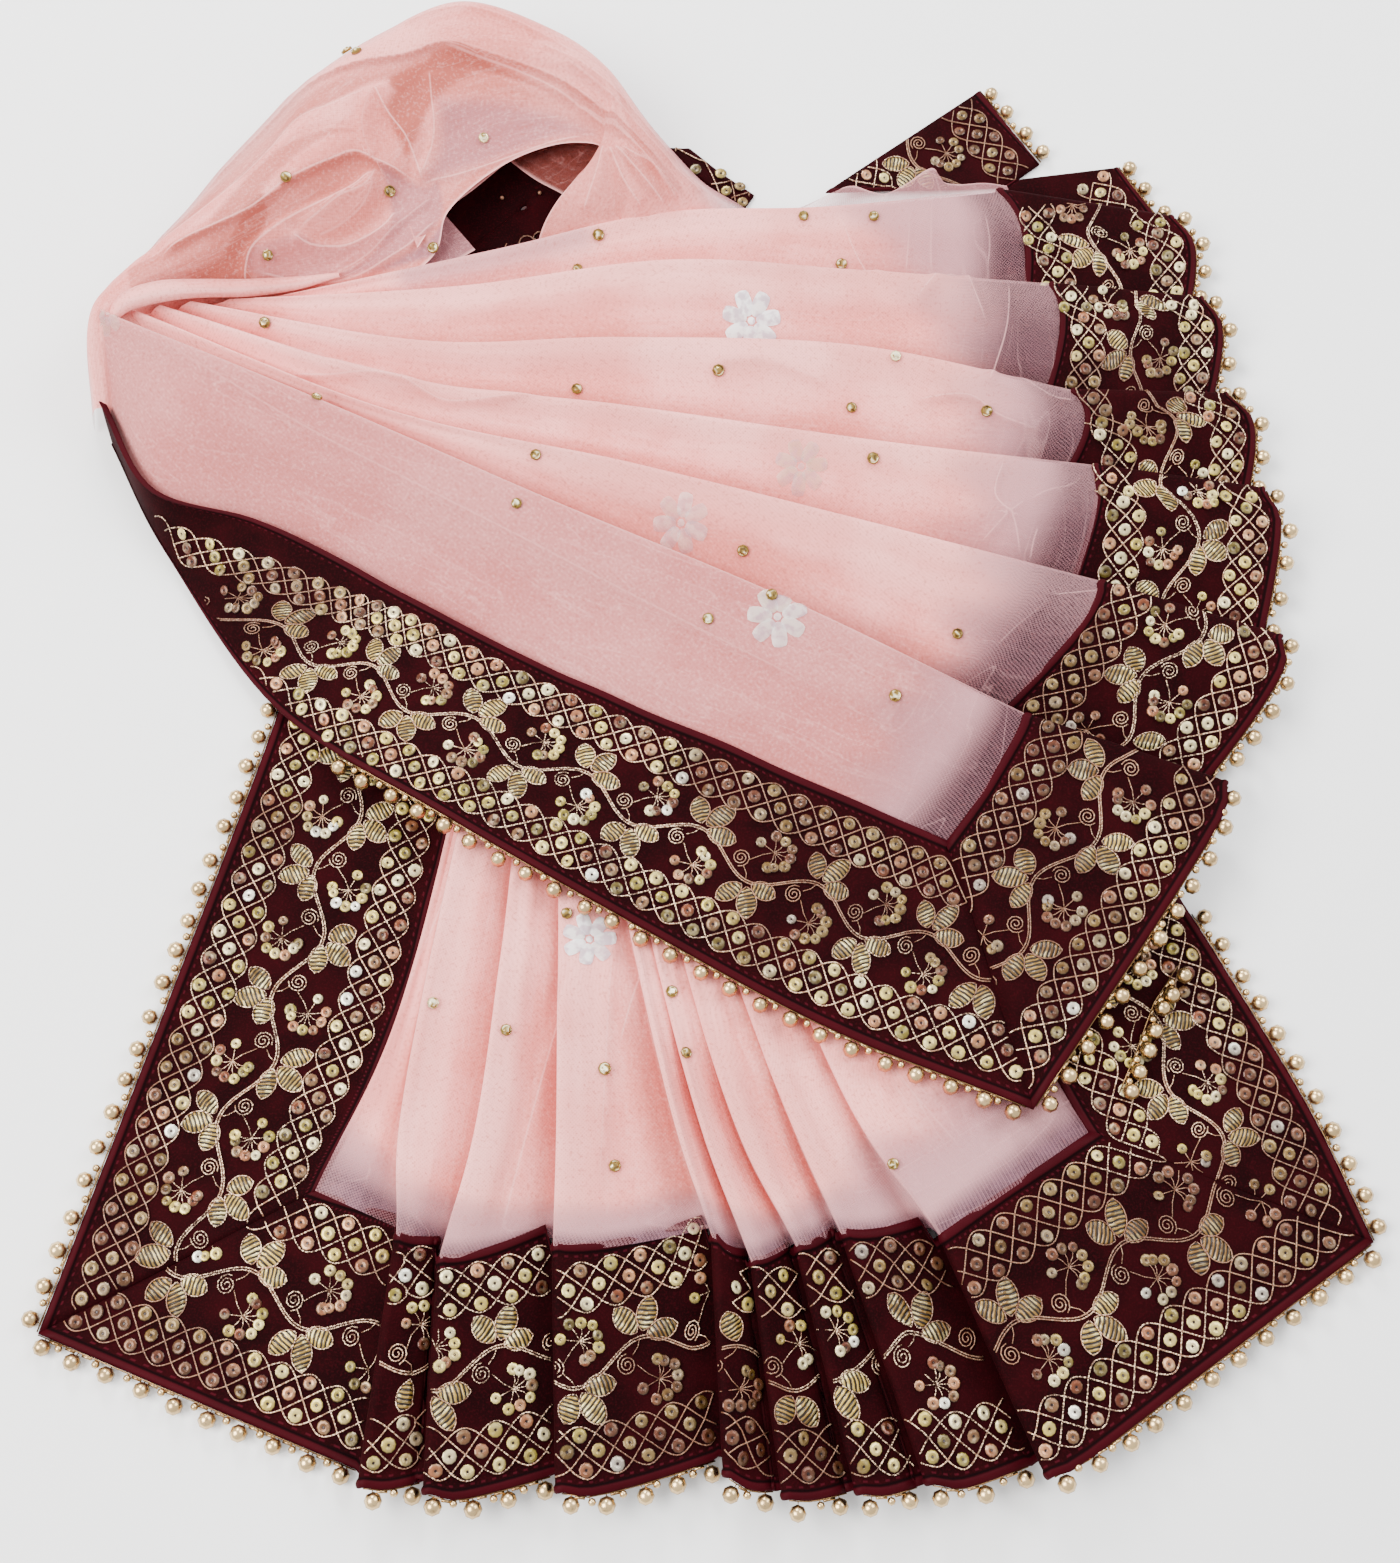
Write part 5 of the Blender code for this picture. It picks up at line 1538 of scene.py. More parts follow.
BEAD_POINTS, BEAD_FACES = bead_shape()
BEAD_PAINTED_LIGHT = np.array((-0.35, 0.25, 0.9))


class Pile:
    """Many small shapes collected into one mesh, each with its own tint."""

    def __init__(self):
        self.points = []
        self.faces = []
        self.tints = []
        self.count = 0

    def add(self, points, faces, tint):
        self.faces += [tuple(self.count + k for k in face) for face in faces]
        self.points.append(np.asarray(points, float))
        self.tints += list(tint) if hasattr(tint, "__len__") else [tint] * len(points)
        self.count += len(points)

    def bead(self, centre, radius, tint):
        # Each bead is lighter on its upper side and darker below: painted highlight and shade, on top of its own tint.
        shares = tint * (0.3 + 0.7 * np.clip(0.5 + 0.62 * (BEAD_POINTS @ BEAD_PAINTED_LIGHT), 0, 1))
        self.add(BEAD_POINTS * radius + np.array(tuple(centre)), BEAD_FACES, shares)

    def tube(self, path, radius, tint, sides=4, closed_ends=True):
        """A round cord along a path of points."""
        rings = []
        for i, point in enumerate(path):
            along = (path[min(i + 1, len(path) - 1)] - path[max(i - 1, 0)]).normalized()
            side = along.cross(UP)
            side = side.normalized() if side.length > 1e-4 else Vector((1, 0, 0))
            up = side.cross(along)
            for k in range(sides):
                turn = tau * (k + 0.5) / sides
                rings.append(tuple(point + (side * cos(turn) + up * sin(turn)) * radius))
        faces = ring_faces(sides, len(path))
        if closed_ends:
            faces.append(tuple(range(sides))[::-1])
            faces.append(tuple((len(path) - 1) * sides + k for k in range(sides)))
        self.add(rings, faces, tint)

    def piece(self, name, material, slot, smooth=True):
        points = np.concatenate(self.points)
        made = new_piece(name, [Vector(point) for point in points], self.faces, material, smooth)
        mark(made, "tint", self.tints)
        return made


print("bead faces:", len(BEAD_FACES))


# %% Where the beads lie
def pile_top(plan):
    """How high the lower end reaches where the upper end's edge lies on it."""
    outside_right = -beside_line(plan, LOWER_NET[-1].path[0], LOWER_NET[-1].path[-1])
    past_seam = max(outside_right, 0)
    to_hem = max(beside_line(plan, LOWER_RIGHT.hem[0], LOWER_RIGHT.hem[-1]), 0)
    fall = past_seam / max(past_seam + to_hem, 1)
    right_top = mix(12.5, 1.6, fall) + 0.75 + SEAM_GAP
    outside_left = beside_line(plan, LOWER_NET[0].path[0], LOWER_NET[0].path[-1])
    over_net = mix(PRESSED_HEIGHT + SEAM_GAP, 16.6, ease(55, 88, plan[0]))
    over_right = mix(over_net, right_top, ease(0, 14, outside_right))
    over_left = mix(over_net, 3.4, ease(1, 12, outside_left))
    if outside_right > 80 or outside_left > 78:
        return GROUND_GAP
    return min(over_right, over_left)


def path_point(path, distance):
    for a, b in zip(path, path[1:]):
        span = (b - a).length
        if distance <= span:
            return a.lerp(b, distance / span), (b - a).normalized()
        distance -= span
    return path[-1].copy(), (path[-1] - path[-2]).normalized()


def side_of(along, out):
    """Square to a line in plan, on the side that out points to."""
    side = Vector((along.y, -along.x, 0)).normalized()
    return -side if side.dot(out) < 0 else side


def bead_edging(node, edge, hem_side, over_pile=False, margin=3, pitch=BEAD_PITCH):
    """Beads on a thread beside a hem. hem_side points out of the cloth."""
    out = raised(hem_side, 0)
    path = []
    for i, point in enumerate(edge):
        side = side_of(edge[min(i + 1, len(edge) - 1)] - edge[max(i - 1, 0)], out)
        plan = point.xy + side.xy * BEAD_CLEAR
        ground = pile_top(plan) if over_pile else GROUND_GAP
        path.append(raised(plan, max(point.z, ground + SOLID_SMALL)))
    length = path_length(path)
    count = max(int(round((length - 2 * margin) / pitch)), 1)
    step = (length - 2 * margin) / count
    pile = Pile()
    pile.tube(path, 0.3, 0.1)
    for k in range(2 * count + 1):
        root, along = path_point(path, margin + 0.5 * k * step)
        side = side_of(along, out)
        large = k % 2 == 0
        radius = (LARGE_BEAD if large else SMALL_BEAD) * dice.uniform(0.94, 1.04)
        reach = (3.5 if large else 1.5) + dice.uniform(-0.4, 0.4)
        ground = pile_top(root + side * reach) if over_pile else GROUND_GAP
        lift = max((ground + (SOLID_LARGE if large else SOLID_SMALL) - root.z) / 5, -0.25)
        aim = (side + UP * lift).normalized()
        centre = root + aim * reach + along * dice.uniform(-0.8, 0.8)
        pile.bead(centre, radius, dice.uniform(0.7, 1))
        pile.tube([root, centre], 0.22, 0.15, sides=3)
        if k < 2 * count and dice.random() < 0.8:
            ends = [path_point(path, margin + (0.5 * k + part) * step)[0] + side * 0.5 for part in (0.12, 0.4)]
            pile.tube(ends, TUBE_RADIUS, dice.uniform(0.1, 0.5), sides=5)
    piece = pile.piece(node.replace("beads", "bead_edging"), BEADS, "beads")
    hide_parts(node)
    return piece


def panel_hem(fold, following):
    """The hem of one panel where it shows."""
    last = isinstance(following, Mitre)
    _, _, _, run, at = panel_run(fold, following, 1, last)
    stop = run - 1 if last else run - NOSE_RADIUS - 1
    return [at(stop * k / 6) for k in range(7)]


# %% All edgings
edgings = []


def edgings_of(nodes):
    names = [node.replace("beads", "bead_edging") for node in nodes]
    return [piece for piece in edgings if piece.name in names]


LOWER_BEADS = ["beads_lower_" + str(k) for k in range(9)]
UPPER_BEADS = ["beads_upper_" + str(k) for k in range(7, 0, -1)]
for folds, nodes in ((LOWER_FOLDS, LOWER_BEADS), (UPPER_FOLDS, UPPER_BEADS)):
    for node, fold, following in zip(nodes, folds, folds[1:]):
        edgings.append(bead_edging(node, panel_hem(fold, following), -inward(following), folds is UPPER_FOLDS))
corner_hem = [raised(plan, height) for plan, height in zip(UPPER_CORNER.hem, UPPER_CORNER.hem_z)]
edgings.append(bead_edging("beads_upper_8", corner_hem, (1, 0.4)))
SIDE_EDGINGS = (
    ("beads_lower_left", LOWER_LEFT, 0.22, 1, (-1, 0), False),
    ("beads_lower_right", LOWER_RIGHT, 0.12, 1, (1, 0), False),
    ("beads_upper_side", UPPER_SIDE, 0.4, 0.995, (-0.5, -1), True),
)
for node, strip, first, last, out, over_pile in SIDE_EDGINGS:
    shares = [mix(first, last, share) for share in even_shares(25)]
    hem = [raised(smooth_curve(strip.hem, s), smooth_value(strip.hem_z, s)) for s in shares]
    edgings.append(bead_edging(node, hem, out, over_pile))
CLUSTER = ((168, -64), (158, -78), (150, -96), (143, -110))
cluster = [raised(plan, 0) for plan in CLUSTER]
edgings.append(bead_edging("beads_cluster", cluster, (1, -0.4), True, margin=2, pitch=8))
print("edgings:", len(edgings))


# %% [markdown]
# ## Embroidery
# The border's embroidery is a common one: two bands of trellis filled with sequins, and between them a waving stem
# with three-leaved sprigs, small spirals and sprays of sequins. A machine sews it on the flat strip before
# the pleats are folded, so it is drawn here on the flat strip too, as places along and across the border, and then laid
# on each panel where the panel shows. What falls under the next pleat is left out.

# %% Metal thread, leaves and sequins
def turned_away(shader):
    """Broad patches where the work leans away from the light and looks coppery."""
    return shader.noise(13, 1).smooth(0.5, 0.6)


def thread_material():
    shader = Shader("champagne_thread", (0.45, 0.24, 0.12), 0.4, 0.3)
    glint = shader.noise(1800, 2)
    patch = shader.noise(45, 2)
    dull = shader.blend(patch.smooth(0.4, 0.65), (0.05, 0.018, 0.01), (0.27, 0.125, 0.07))
    away = turned_away(shader)
    # Bright specks painted into the colour are the metal's glints: painted highlights.
    colour = shader.blend(glint.smooth(0.48, 0.6) * (1 - away * 0.6), dull, (1, 0.7, 0.46))
    colour = shader.blend(away * 0.55, colour, (0.13, 0.042, 0.02))
    shader.relief(glint, 0.5, 0.0003)
    return shader.give(Base_Color=colour, Roughness=0.45 - glint * 0.25)


def leaf_material():
    """Satin stitch: slanted gold strands, with dark gaps where they part."""
    shader = Shader("gold_satin_stitch", (0.36, 0.28, 0.05), 0.35, 0.35)
    along, across = shader.cloth_place()
    wander = shader.noise(260, 2)
    slant = along + across * 0.22 + wander * 1.1
    strand = (slant * (tau / 1.45)).math("SINE")
    gap = (slant * (tau / 3.3)).math("SINE").smooth(0.45, 0.8)
    tint = shader.attribute("tint")
    gold = shader.blend(tint, (0.19, 0.105, 0.02), (0.54, 0.36, 0.08))
    # Bright patches painted on the gold: painted highlights.
    gold = shader.blend(wander.smooth(0.49, 0.62) * 0.75, gold, (1, 0.86, 0.4))
    gold = shader.blend(turned_away(shader) * 0.6, gold, (0.12, 0.042, 0.012))
    colour = shader.blend(1 - strand.smooth(-0.45, 0.35), gold, (0.012, 0.005, 0.002))
    colour = shader.blend(gap * 0.5, colour, (0.014, 0.006, 0.003))
    shader.relief(strand, 0.6, 0.0003)
    return shader.give(Base_Color=colour, Roughness=0.36 - wander * 0.15)


def sequin_material():
    """Sequins of several metals, with a hole; near-black tints, a darker side and a darker rim are painted reflection
    and shade.
    """
    shader = Shader("mixed_sequins", (0.4, 0.28, 0.08), 0.28, 0.4)
    tint = shader.attribute("tint")
    ramp = shader.tree.nodes.new("ShaderNodeValToRGB")
    # Near-black copper and olive stops are painted dark reflections of sequins that tilt away; the others are the
    # batches' metals.
    metals_and_reflections = ((0, (0.08, 0.016, 0.006)), (0.16, (0.2, 0.052, 0.018)), (0.32, (0.52, 0.225, 0.105)),
               (0.46, (0.06, 0.036, 0.011)), (0.6, (0.24, 0.185, 0.024)), (0.78, (0.7, 0.53, 0.13)),
               (1, (0.98, 0.95, 0.8)))
    while len(ramp.color_ramp.elements) < len(metals_and_reflections):
        ramp.color_ramp.elements.new(0.5)
    for stop, (place, colour) in zip(ramp.color_ramp.elements, metals_and_reflections):
        stop.position = place
        stop.color = (*colour, 1)
    shader.put(ramp.inputs[0], tint)
    swirl = shader.noise(320, 2)
    colour = shader.blend(swirl.smooth(0.45, 0.75) * 0.35, Value(shader, ramp.outputs[0]), (0.8, 0.68, 0.4))
    colour = shader.blend(turned_away(shader) * 0.78, colour, (0.085, 0.022, 0.009))
    colour = shader.blend(shader.attribute("painted_dark_side"), colour, (0.035, 0.018, 0.006))
    colour = shader.blend(shader.attribute("hole_and_rim_shade"), colour, (0.012, 0.003, 0.003))
    shader.relief(swirl, 0.25, 0.0004)
    return shader.give(Base_Color=colour, Roughness=0.2 + swirl * 0.15)


THREAD = thread_material()
LEAF = leaf_material()
SEQUINS = sequin_material()
print("embroidery:", THREAD.name, LEAF.name, SEQUINS.name)

# %% The pattern's own sizes
TRELLIS_STEP = 10.2
TRELLIS_BANDS = (12.9, 62.1)
TRELLIS_SWING = 10.4
TRELLIS_STRAIGHT = 5.4
STEM_CENTRE = 37.5
STEM_SWING = 5.2
STEM_REPEAT = 46.5
CORD_RADIUS = 0.3
BRANCH_RADIUS = 0.2
SEQUIN_RADIUS = 2.45
SPIRAL_TURNS = 2.4
SPIRAL_STEPS = 26
LINE_STEP = 1.275
Sequin = namedtuple("Sequin", "s v radius")
Leaf = namedtuple("Leaf", "s v angle length width")


def rounded(swing):
    """A trellis thread is straight between its crossings and turns in a round tip at the band's edge."""
    over = abs(swing) - TRELLIS_STRAIGHT
    if over <= 0:
        return swing
    tip = 2.5 * sin(0.5 * pi * over / (TRELLIS_SWING - TRELLIS_STRAIGHT))
    return copysign(TRELLIS_STRAIGHT + tip, swing)


def trellis_lines(length):
    """Four threads a band, crossing to make a diamond for each sequin."""
    lines = []
    period = 4 * TRELLIS_STEP
    for centre in TRELLIS_BANDS:
        for k in range(4):
            line = []
            for i in range(int(length / LINE_STEP) + 1):
                s = LINE_STEP * i
                swing = TRELLIS_SWING * asin(sin(tau * (s + k * TRELLIS_STEP) / period)) * 2 / pi
                line.append((s, centre + rounded(swing)))
            lines.append((line, CORD_RADIUS))
    return lines


def trellis_sequins(length):
    """One sequin in each diamond, in three rows a band."""
    return [Sequin(j * TRELLIS_STEP + ahead * TRELLIS_STEP, centre + aside * TRELLIS_STEP, SEQUIN_RADIUS)
            for centre in TRELLIS_BANDS for j in range(int(length / TRELLIS_STEP) + 1)
            for ahead, aside in ((0, -0.51), (0, 0.51), (0.5, 0))]


def stem_at(s):
    return STEM_CENTRE + STEM_SWING * sin(tau * s / STEM_REPEAT)


def stem_lines(length):
    lines = []
    for shift in (-0.42, 0.42):
        lines.append(([(1.4 * i, stem_at(1.4 * i) + shift) for i in range(int(length / 1.4) + 1)], CORD_RADIUS))
    return lines


def spiral(s, v, radius, turn0):
    points = []
    for k in range(SPIRAL_STEPS + 1):
        turn = turn0 + tau * SPIRAL_TURNS * k / SPIRAL_STEPS
        reach = radius * (1 - k / SPIRAL_STEPS * 0.86)
        points.append((s + reach * cos(turn), v + reach * sin(turn)))
    return points


print("trellis step", TRELLIS_STEP, "mm, stem repeat", STEM_REPEAT, "mm")

# %% Sprigs and sprays
LEAF_ANGLES = (122, 62, 4)
LEAF_SIZES = ((10.4, 6.6), (11.4, 6.8), (10.4, 6.4))
LEAF_START = 2
SPIRAL_PLACE = (-6.2, 7)
SPIRAL_RADIUS = 3.4
SPRAY_PLACE = (3.4, 13.9)
SPRAY_TURNS = (-165, -110, -75, -40, -5, 30, 65, 85)
SPRAY_REACH = 6.7


def sprig(node, side):
    """Three leaves, a spiral and a spray. side is 1 on the seam side, -1 on the hem side."""
    s0 = node
    v0 = stem_at(node)
    leaves = []
    for angle, (length, width) in zip(LEAF_ANGLES, LEAF_SIZES):
        aim = radians(angle)
        leaves.append(Leaf(s0 + LEAF_START * cos(aim), v0 + side * LEAF_START * sin(aim), side * angle,
                           length, width))
    eye_s = s0 + SPIRAL_PLACE[0]
    eye_v = v0 - side * SPIRAL_PLACE[1]
    lines = [(spiral(eye_s, eye_v, SPIRAL_RADIUS, side * 1.4), 0.27)]
    lines.append(([(eye_s + 2.4, eye_v + side * 2.4), (s0 - 1.6, v0 - side * 2.6), (s0 - 0.4, v0)], BRANCH_RADIUS))
    heart_s = s0 + SPRAY_PLACE[0]
    heart_v = v0 - side * SPRAY_PLACE[1]
    root = (eye_s + 3.2, eye_v - side * 0.8)
    lines.append(([root, (mix(root[0], heart_s, 0.5), mix(root[1], heart_v, 0.6)), (heart_s, heart_v)], BRANCH_RADIUS))
    sequins = []
    for k, angle in enumerate(SPRAY_TURNS):
        turn = radians(angle)
        reach = SPRAY_REACH if k % 2 else SPRAY_REACH * 0.92
        s = heart_s + reach * cos(turn)
        v = heart_v + side * reach * 0.9 * sin(turn)
        twig = (mix(heart_s, s, 0.5) + 0.5, mix(heart_v, v, 0.42))
        lines.append(([(heart_s, heart_v), twig, (s, v)], BRANCH_RADIUS))
        sequins.append(Sequin(s, v, 2.15 if k % 3 else 1.95))
    return leaves, lines, sequins


def vine(length):
    leaves = []
    lines = stem_lines(length)
    sequins = []
    for k in range(int(length / (0.5 * STEM_REPEAT)) + 1):
        node = STEM_REPEAT * (0.25 + 0.5 * k)
        side = 1 if k % 2 == 0 else -1
        more_leaves, more_lines, more_sequins = sprig(node, side)
        leaves += more_leaves
        lines += more_lines
        sequins += more_sequins
    return leaves, lines, sequins


print("leaves in a repeat:", 2 * len(LEAF_ANGLES), "sequins in its sprays:", 2 * len(SPRAY_TURNS))


# %% Laying the pattern on a panel
OVERHANG = 14
PLUMB_HEIGHT = 90
SEAM_MARGIN = 2.6


class Ground:
    """The face of one panel, found by its places along the hem and in from it."""

    def __init__(self, panel):
        self.tree = panel.tree
        self.start = panel.start
        self.hem = panel.hem
        self.ways = panel.ways
        self.widths = panel.widths
        self.far = running_lengths(self.hem)

    def plan(self, s, v):
        distance = s - self.start
        if distance < -OVERHANG or distance > self.far[-1] + OVERHANG:
            return None
        k = min(max(int(np.searchsorted(self.far, distance)) - 1, 0), len(self.hem) - 2)
        share = (distance - self.far[k]) / max(self.far[k + 1] - self.far[k], 1e-6)
        width = mix(self.widths[k], self.widths[k + 1], share)
        scale = min(max(width / BORDER_WIDTH, 0.86), 1.25)
        inwards = width - (BORDER_WIDTH - v) * scale
        if inwards < SEAM_MARGIN:
            return None
        way = self.ways[k].lerp(self.ways[k + 1], share).normalized()
        return self.hem[k].lerp(self.hem[k + 1], share) + way * inwards

    def at(self, s, v):
        plan = self.plan(s, v)
        if plan is None:
            return None
        place, normal, _, _ = self.tree.ray_cast(raised(plan, PLUMB_HEIGHT), -UP)
        if place is None:
            return None
        return place, (normal if normal.z > 0 else -normal)

    def frame(self, s, v):
        """The place, and the cloth's own directions along, across and up."""
        here = self.at(s, v)
        ahead = self.at(s + 1.5, v)
        if here is None or ahead is None:
            return None
        up = here[1]
        along = ahead[0] - here[0]
        along = (along - up * along.dot(up)).normalized()
        across = up.cross(along)
        beside = self.plan(s, v + 1) - self.plan(s, v)
        if across.xy.dot(beside) < 0:
            across = -across
        return here[0], along, across, up


print("ground ready")


# %% [markdown]
# ## Sewing it on
# Each kind of work is collected into one mesh for each strip: the cords as thin tubes, the leaves as low domes of
# satin stitch with a corded outline, and the sequins as small dished rings that each lie a little differently,
# because that is what makes them glint one by one. Each sequin also gets a painted dark side.

# %% Shapes of one leaf and one sequin
LEAF_STATIONS = 7
LEAF_ROWS = (-1, -0.6, 0, 0.6, 1)
LEAF_DOME = 0.95
SEQUIN_SIDES = 10


def leaf_half_width(share):
    return max(sin(pi * share ** 1.05), 0) ** 0.62


def leaf_grid(length, width):
    """Places along and across one leaf, with their heights."""
    rows = []
    for share in [mix(0.03, 0.985, place) for place in even_shares(LEAF_STATIONS)]:
        half = 0.5 * width * leaf_half_width(share)
        row = []
        for side in LEAF_ROWS:
            row.append((length * share, half * side, LEAF_DOME * leaf_half_width(share) * (1 - side * side)))
        rows.append(row)
    return rows


def leaf_outline(length, width):
    half = [(length * share, 0.5 * width * leaf_half_width(share) + 0.15) for share in even_shares(10)]
    return half + [(x, -y) for x, y in reversed(half)]


SEQUIN_RINGS = ((0.15, 0.04, 0), (0.27, 0.18, 0), (0.56, 0.34, 0), (0.84, 0.22, 0), (1, 0, 0))
SEQUIN_POINTS = np.array(ring_points(SEQUIN_RINGS, SEQUIN_SIDES))
SEQUIN_FACES = [tuple(range(SEQUIN_SIDES))] + [face[:1] + face[:0:-1] for face in ring_faces(SEQUIN_SIDES, 5)]
# The middle is dark where the hole shows the velvet; the outer rim is darkened too, as painted shade.
SEQUIN_HOLE_AND_RIM_SHADE = [hole_and_rim_shade for hole_and_rim_shade in (1, 0.25, 0, 0, 0.8) for _ in range(SEQUIN_SIDES)]
print("faces in a sequin:", len(SEQUIN_FACES))


# %% Sew one strip
PATTERN_OVERRUN = 60
THREAD_LIFT = 0.28
SEQUIN_LIFT = 0.42
# Tints on the sequins' colour ramp. The near-black ones are painted dark reflections of sequins that tilt away; the
# rest are the metals of the batches.
COPPERY = (0.02, 0.12, 0.22, 0.34)
GOLDEN = (0.42, 0.5, 0.6, 0.66)
PALE = (0.74, 0.8, 0.86)


def split_runs(ground, line, lift):
    """A thread's places on the cloth, cut where the cloth doesn't show."""
    runs = []
    run = []
    for s, v in line:
        hit = ground.at(s, v)
        if hit is None or (run and (hit[0] - run[-1]).length > 6):
            if len(run) > 1:
                runs.append(run)
            run = []
        if hit is not None:
            run.append(hit[0] + hit[1] * lift)
    if len(run) > 1:
        runs.append(run)
    return runs


def lay_sequin(pile, hole_and_rim_shades, painted_dark_side, ground, sequin):
    here = ground.frame(sequin.s, sequin.v)
    if here is None or ground.at(sequin.s - 1.9, sequin.v) is None or ground.at(sequin.s + 2, sequin.v) is None:
        return
    place, along, across, up = here
    radius = sequin.radius * dice.uniform(0.93, 1.05)
    tilt = Vector((dice.gauss(0, 0.11), dice.gauss(0, 0.11), 1)).normalized()
    top = (along * tilt.x + across * tilt.y + up * tilt.z).normalized()
    side = (along - top * along.dot(top)).normalized()
    front = top.cross(side)
    turn = dice.uniform(0, tau)
    axes = np.array([tuple(side * cos(turn) + front * sin(turn)),
                     tuple(front * cos(turn) - side * sin(turn)), tuple(top)])
    shape = SEQUIN_POINTS * np.array([radius, radius, 1])
    batch = dice.random()
    # In broad patches more sequins take the coppery and near-black tints: painted shade where the work leans away from
    # the light.
    patch = 0.5 + 0.5 * waver(place.x, place.y, 23)
    tint = dice.choice(COPPERY if batch < 0.2 + 0.18 * patch else GOLDEN)
    tint = dice.choice(PALE) if batch > 0.6 else tint
    tint = 1 if batch > 0.965 else tint
    laid = shape @ axes
    pile.add(laid + np.array(tuple(place + up * SEQUIN_LIFT)), SEQUIN_FACES, tint)
    hole_and_rim_shades += SEQUIN_HOLE_AND_RIM_SHADE
    # Each sequin is darkened on one side, towards a random direction: painted shade.
    away = radians(dice.gauss(-50, 40))
    facing = (laid[:, 0] * cos(away) + laid[:, 1] * sin(away)) / radius
    painted_dark_side += list(np.clip(0.3 + 0.55 * facing, 0, 0.85) * dice.uniform(0.5, 1))


def lay_leaf(leaves, places, cords, ground, leaf):
    if ground.frame(leaf.s, leaf.v) is None:
        return
    turn = radians(leaf.angle)
    length = leaf.length * dice.uniform(0.93, 1.07)
    width = leaf.width * dice.uniform(0.92, 1.06)

    def put(x, y):
        return ground.at(leaf.s + x * cos(turn) - y * sin(turn),
                         leaf.v + x * sin(turn) + y * cos(turn))

    grid = []
    flat = []
    for row in leaf_grid(length, width):
        for x, y, height in row:
            hit = put(x, y)
            if hit is None:
                return
            grid.append(hit[0] + hit[1] * (height + 0.12))
            flat.append((x, y))
    outline = [put(x, y) for x, y in leaf_outline(length, width)]
    if any(hit is None for hit in outline):
        return
    faces = [face[::-1] for face in grid_faces(LEAF_STATIONS, 5)]
    if (grid[5] - grid[0]).cross(grid[1] - grid[0]).z > 0:
        faces = [face[::-1] for face in faces]
    leaves.add([tuple(point) for point in grid], faces, dice.random())
    places += flat
    cords.tube([hit[0] + hit[1] * 0.3 for hit in outline], 0.26, 0.5, closed_ends=False)


def sew(name, panels, length):
    """All the embroidery of one strip, laid on those of its panels that show."""
    leaves, lines, sequins = vine(length + PATTERN_OVERRUN)
    lines += trellis_lines(length + PATTERN_OVERRUN)
    sequins += trellis_sequins(length + PATTERN_OVERRUN)
    cords = Pile()
    leaf_pile = Pile()
    leaf_places = []
    sequin_pile = Pile()
    hole_and_rim_shades = []
    painted_dark_side = []
    for panel in panels:
        ground = Ground(panel)
        low = panel.start - 12
        high = panel.start + ground.far[-1] + 12
        for line, radius in lines:
            near = [(s, v) for s, v in line if low <= s <= high]
            for run in split_runs(ground, near, THREAD_LIFT + 0.1 * dice.random()):
                cords.tube(run, radius, dice.random())
        for leaf in leaves:
            if low <= leaf.s <= high:
                lay_leaf(leaf_pile, leaf_places, cords, ground, leaf)
        for sequin in sequins:
            if low <= sequin.s <= high:
                lay_sequin(sequin_pile, hole_and_rim_shades, painted_dark_side, ground, sequin)
    made = [cords.piece(name + "_cords", THREAD, "beads")]
    if leaf_pile.points:
        made.append(leaf_pile.piece(name + "_leaves", LEAF, "beads"))
        lay_uv(made[-1], leaf_places)
    made.append(sequin_pile.piece(name + "_sequins", SEQUINS, "beads", smooth=False))
    mark(made[-1], "hole_and_rim_shade", hole_and_rim_shades)
    mark(made[-1], "painted_dark_side", painted_dark_side)
    print(name, [len(piece.data.polygons) for piece in made], "faces")
    return made


# %% Sew all strips
sewn = {
    "border_lower_end": sew("sewn_lower_end", lower_panels, lower_length),
    "border_upper_end": sew("sewn_upper_end", upper_panels, upper_length),
}
for name, (_, panel) in strips.items():
    sewn[name] = sew(name.replace("border", "sewn"), [panel], panel.length)
edge_hem = [(column[-1] - (column[0] - column[-1]).normalized() * 7).xy for column in edge_grid]
edge_ways = [(column[0] - column[-1]).xy.normalized() for column in edge_grid]
edge_panel = Panel(surface_of(edge_grid), edge_hem, edge_ways, [BORDER_WIDTH] * len(edge_hem), 0, 60)
sewn["border_behind_loop"] = sew("sewn_behind_loop", [edge_panel], edge_panel.length)
print("strips sewn:", len(sewn))

# %% Beads and cords that glint in the hollow
GLINTS = ((-79, 247, 13.8), (-64, 249, 14.2), (-58, 236, 9.6), (-62, 234, 9.2), (-66, 231, 8.6), (-71, 229, 8.2),
          (-55, 239, 11), (-75, 230, 8))
glint_pile = Pile()
for place in GLINTS:
    glint_pile.bead(Vector(place), 0.8, 0.8)
for k in range(5):
    middle = Vector((-80 + 5.5 * k, 226 + 1.6 * k, 8.4 + 0.5 * k))
    bend = [middle + Vector((3 * cos(t * 0.5), 3.2 * sin(t * 0.5), 0)) for t in range(10)]
    glint_pile.tube(bend, 0.3, 0.5)
glints = glint_pile.piece("sewn_in_loop", THREAD, "beads")
print("glints:", len(GLINTS))


# %% [markdown]
# ## Stones and flowers on the net
# Small faceted stones in gold cups are glued over the net in no strict order, and here and there a flower of seven
# clear, pearly petals. Each is laid on the net by a plumb line from above, petal by petal, so that it lies on
# the folds. Those that sit on a layer below look faint, which their petals' cover shows.

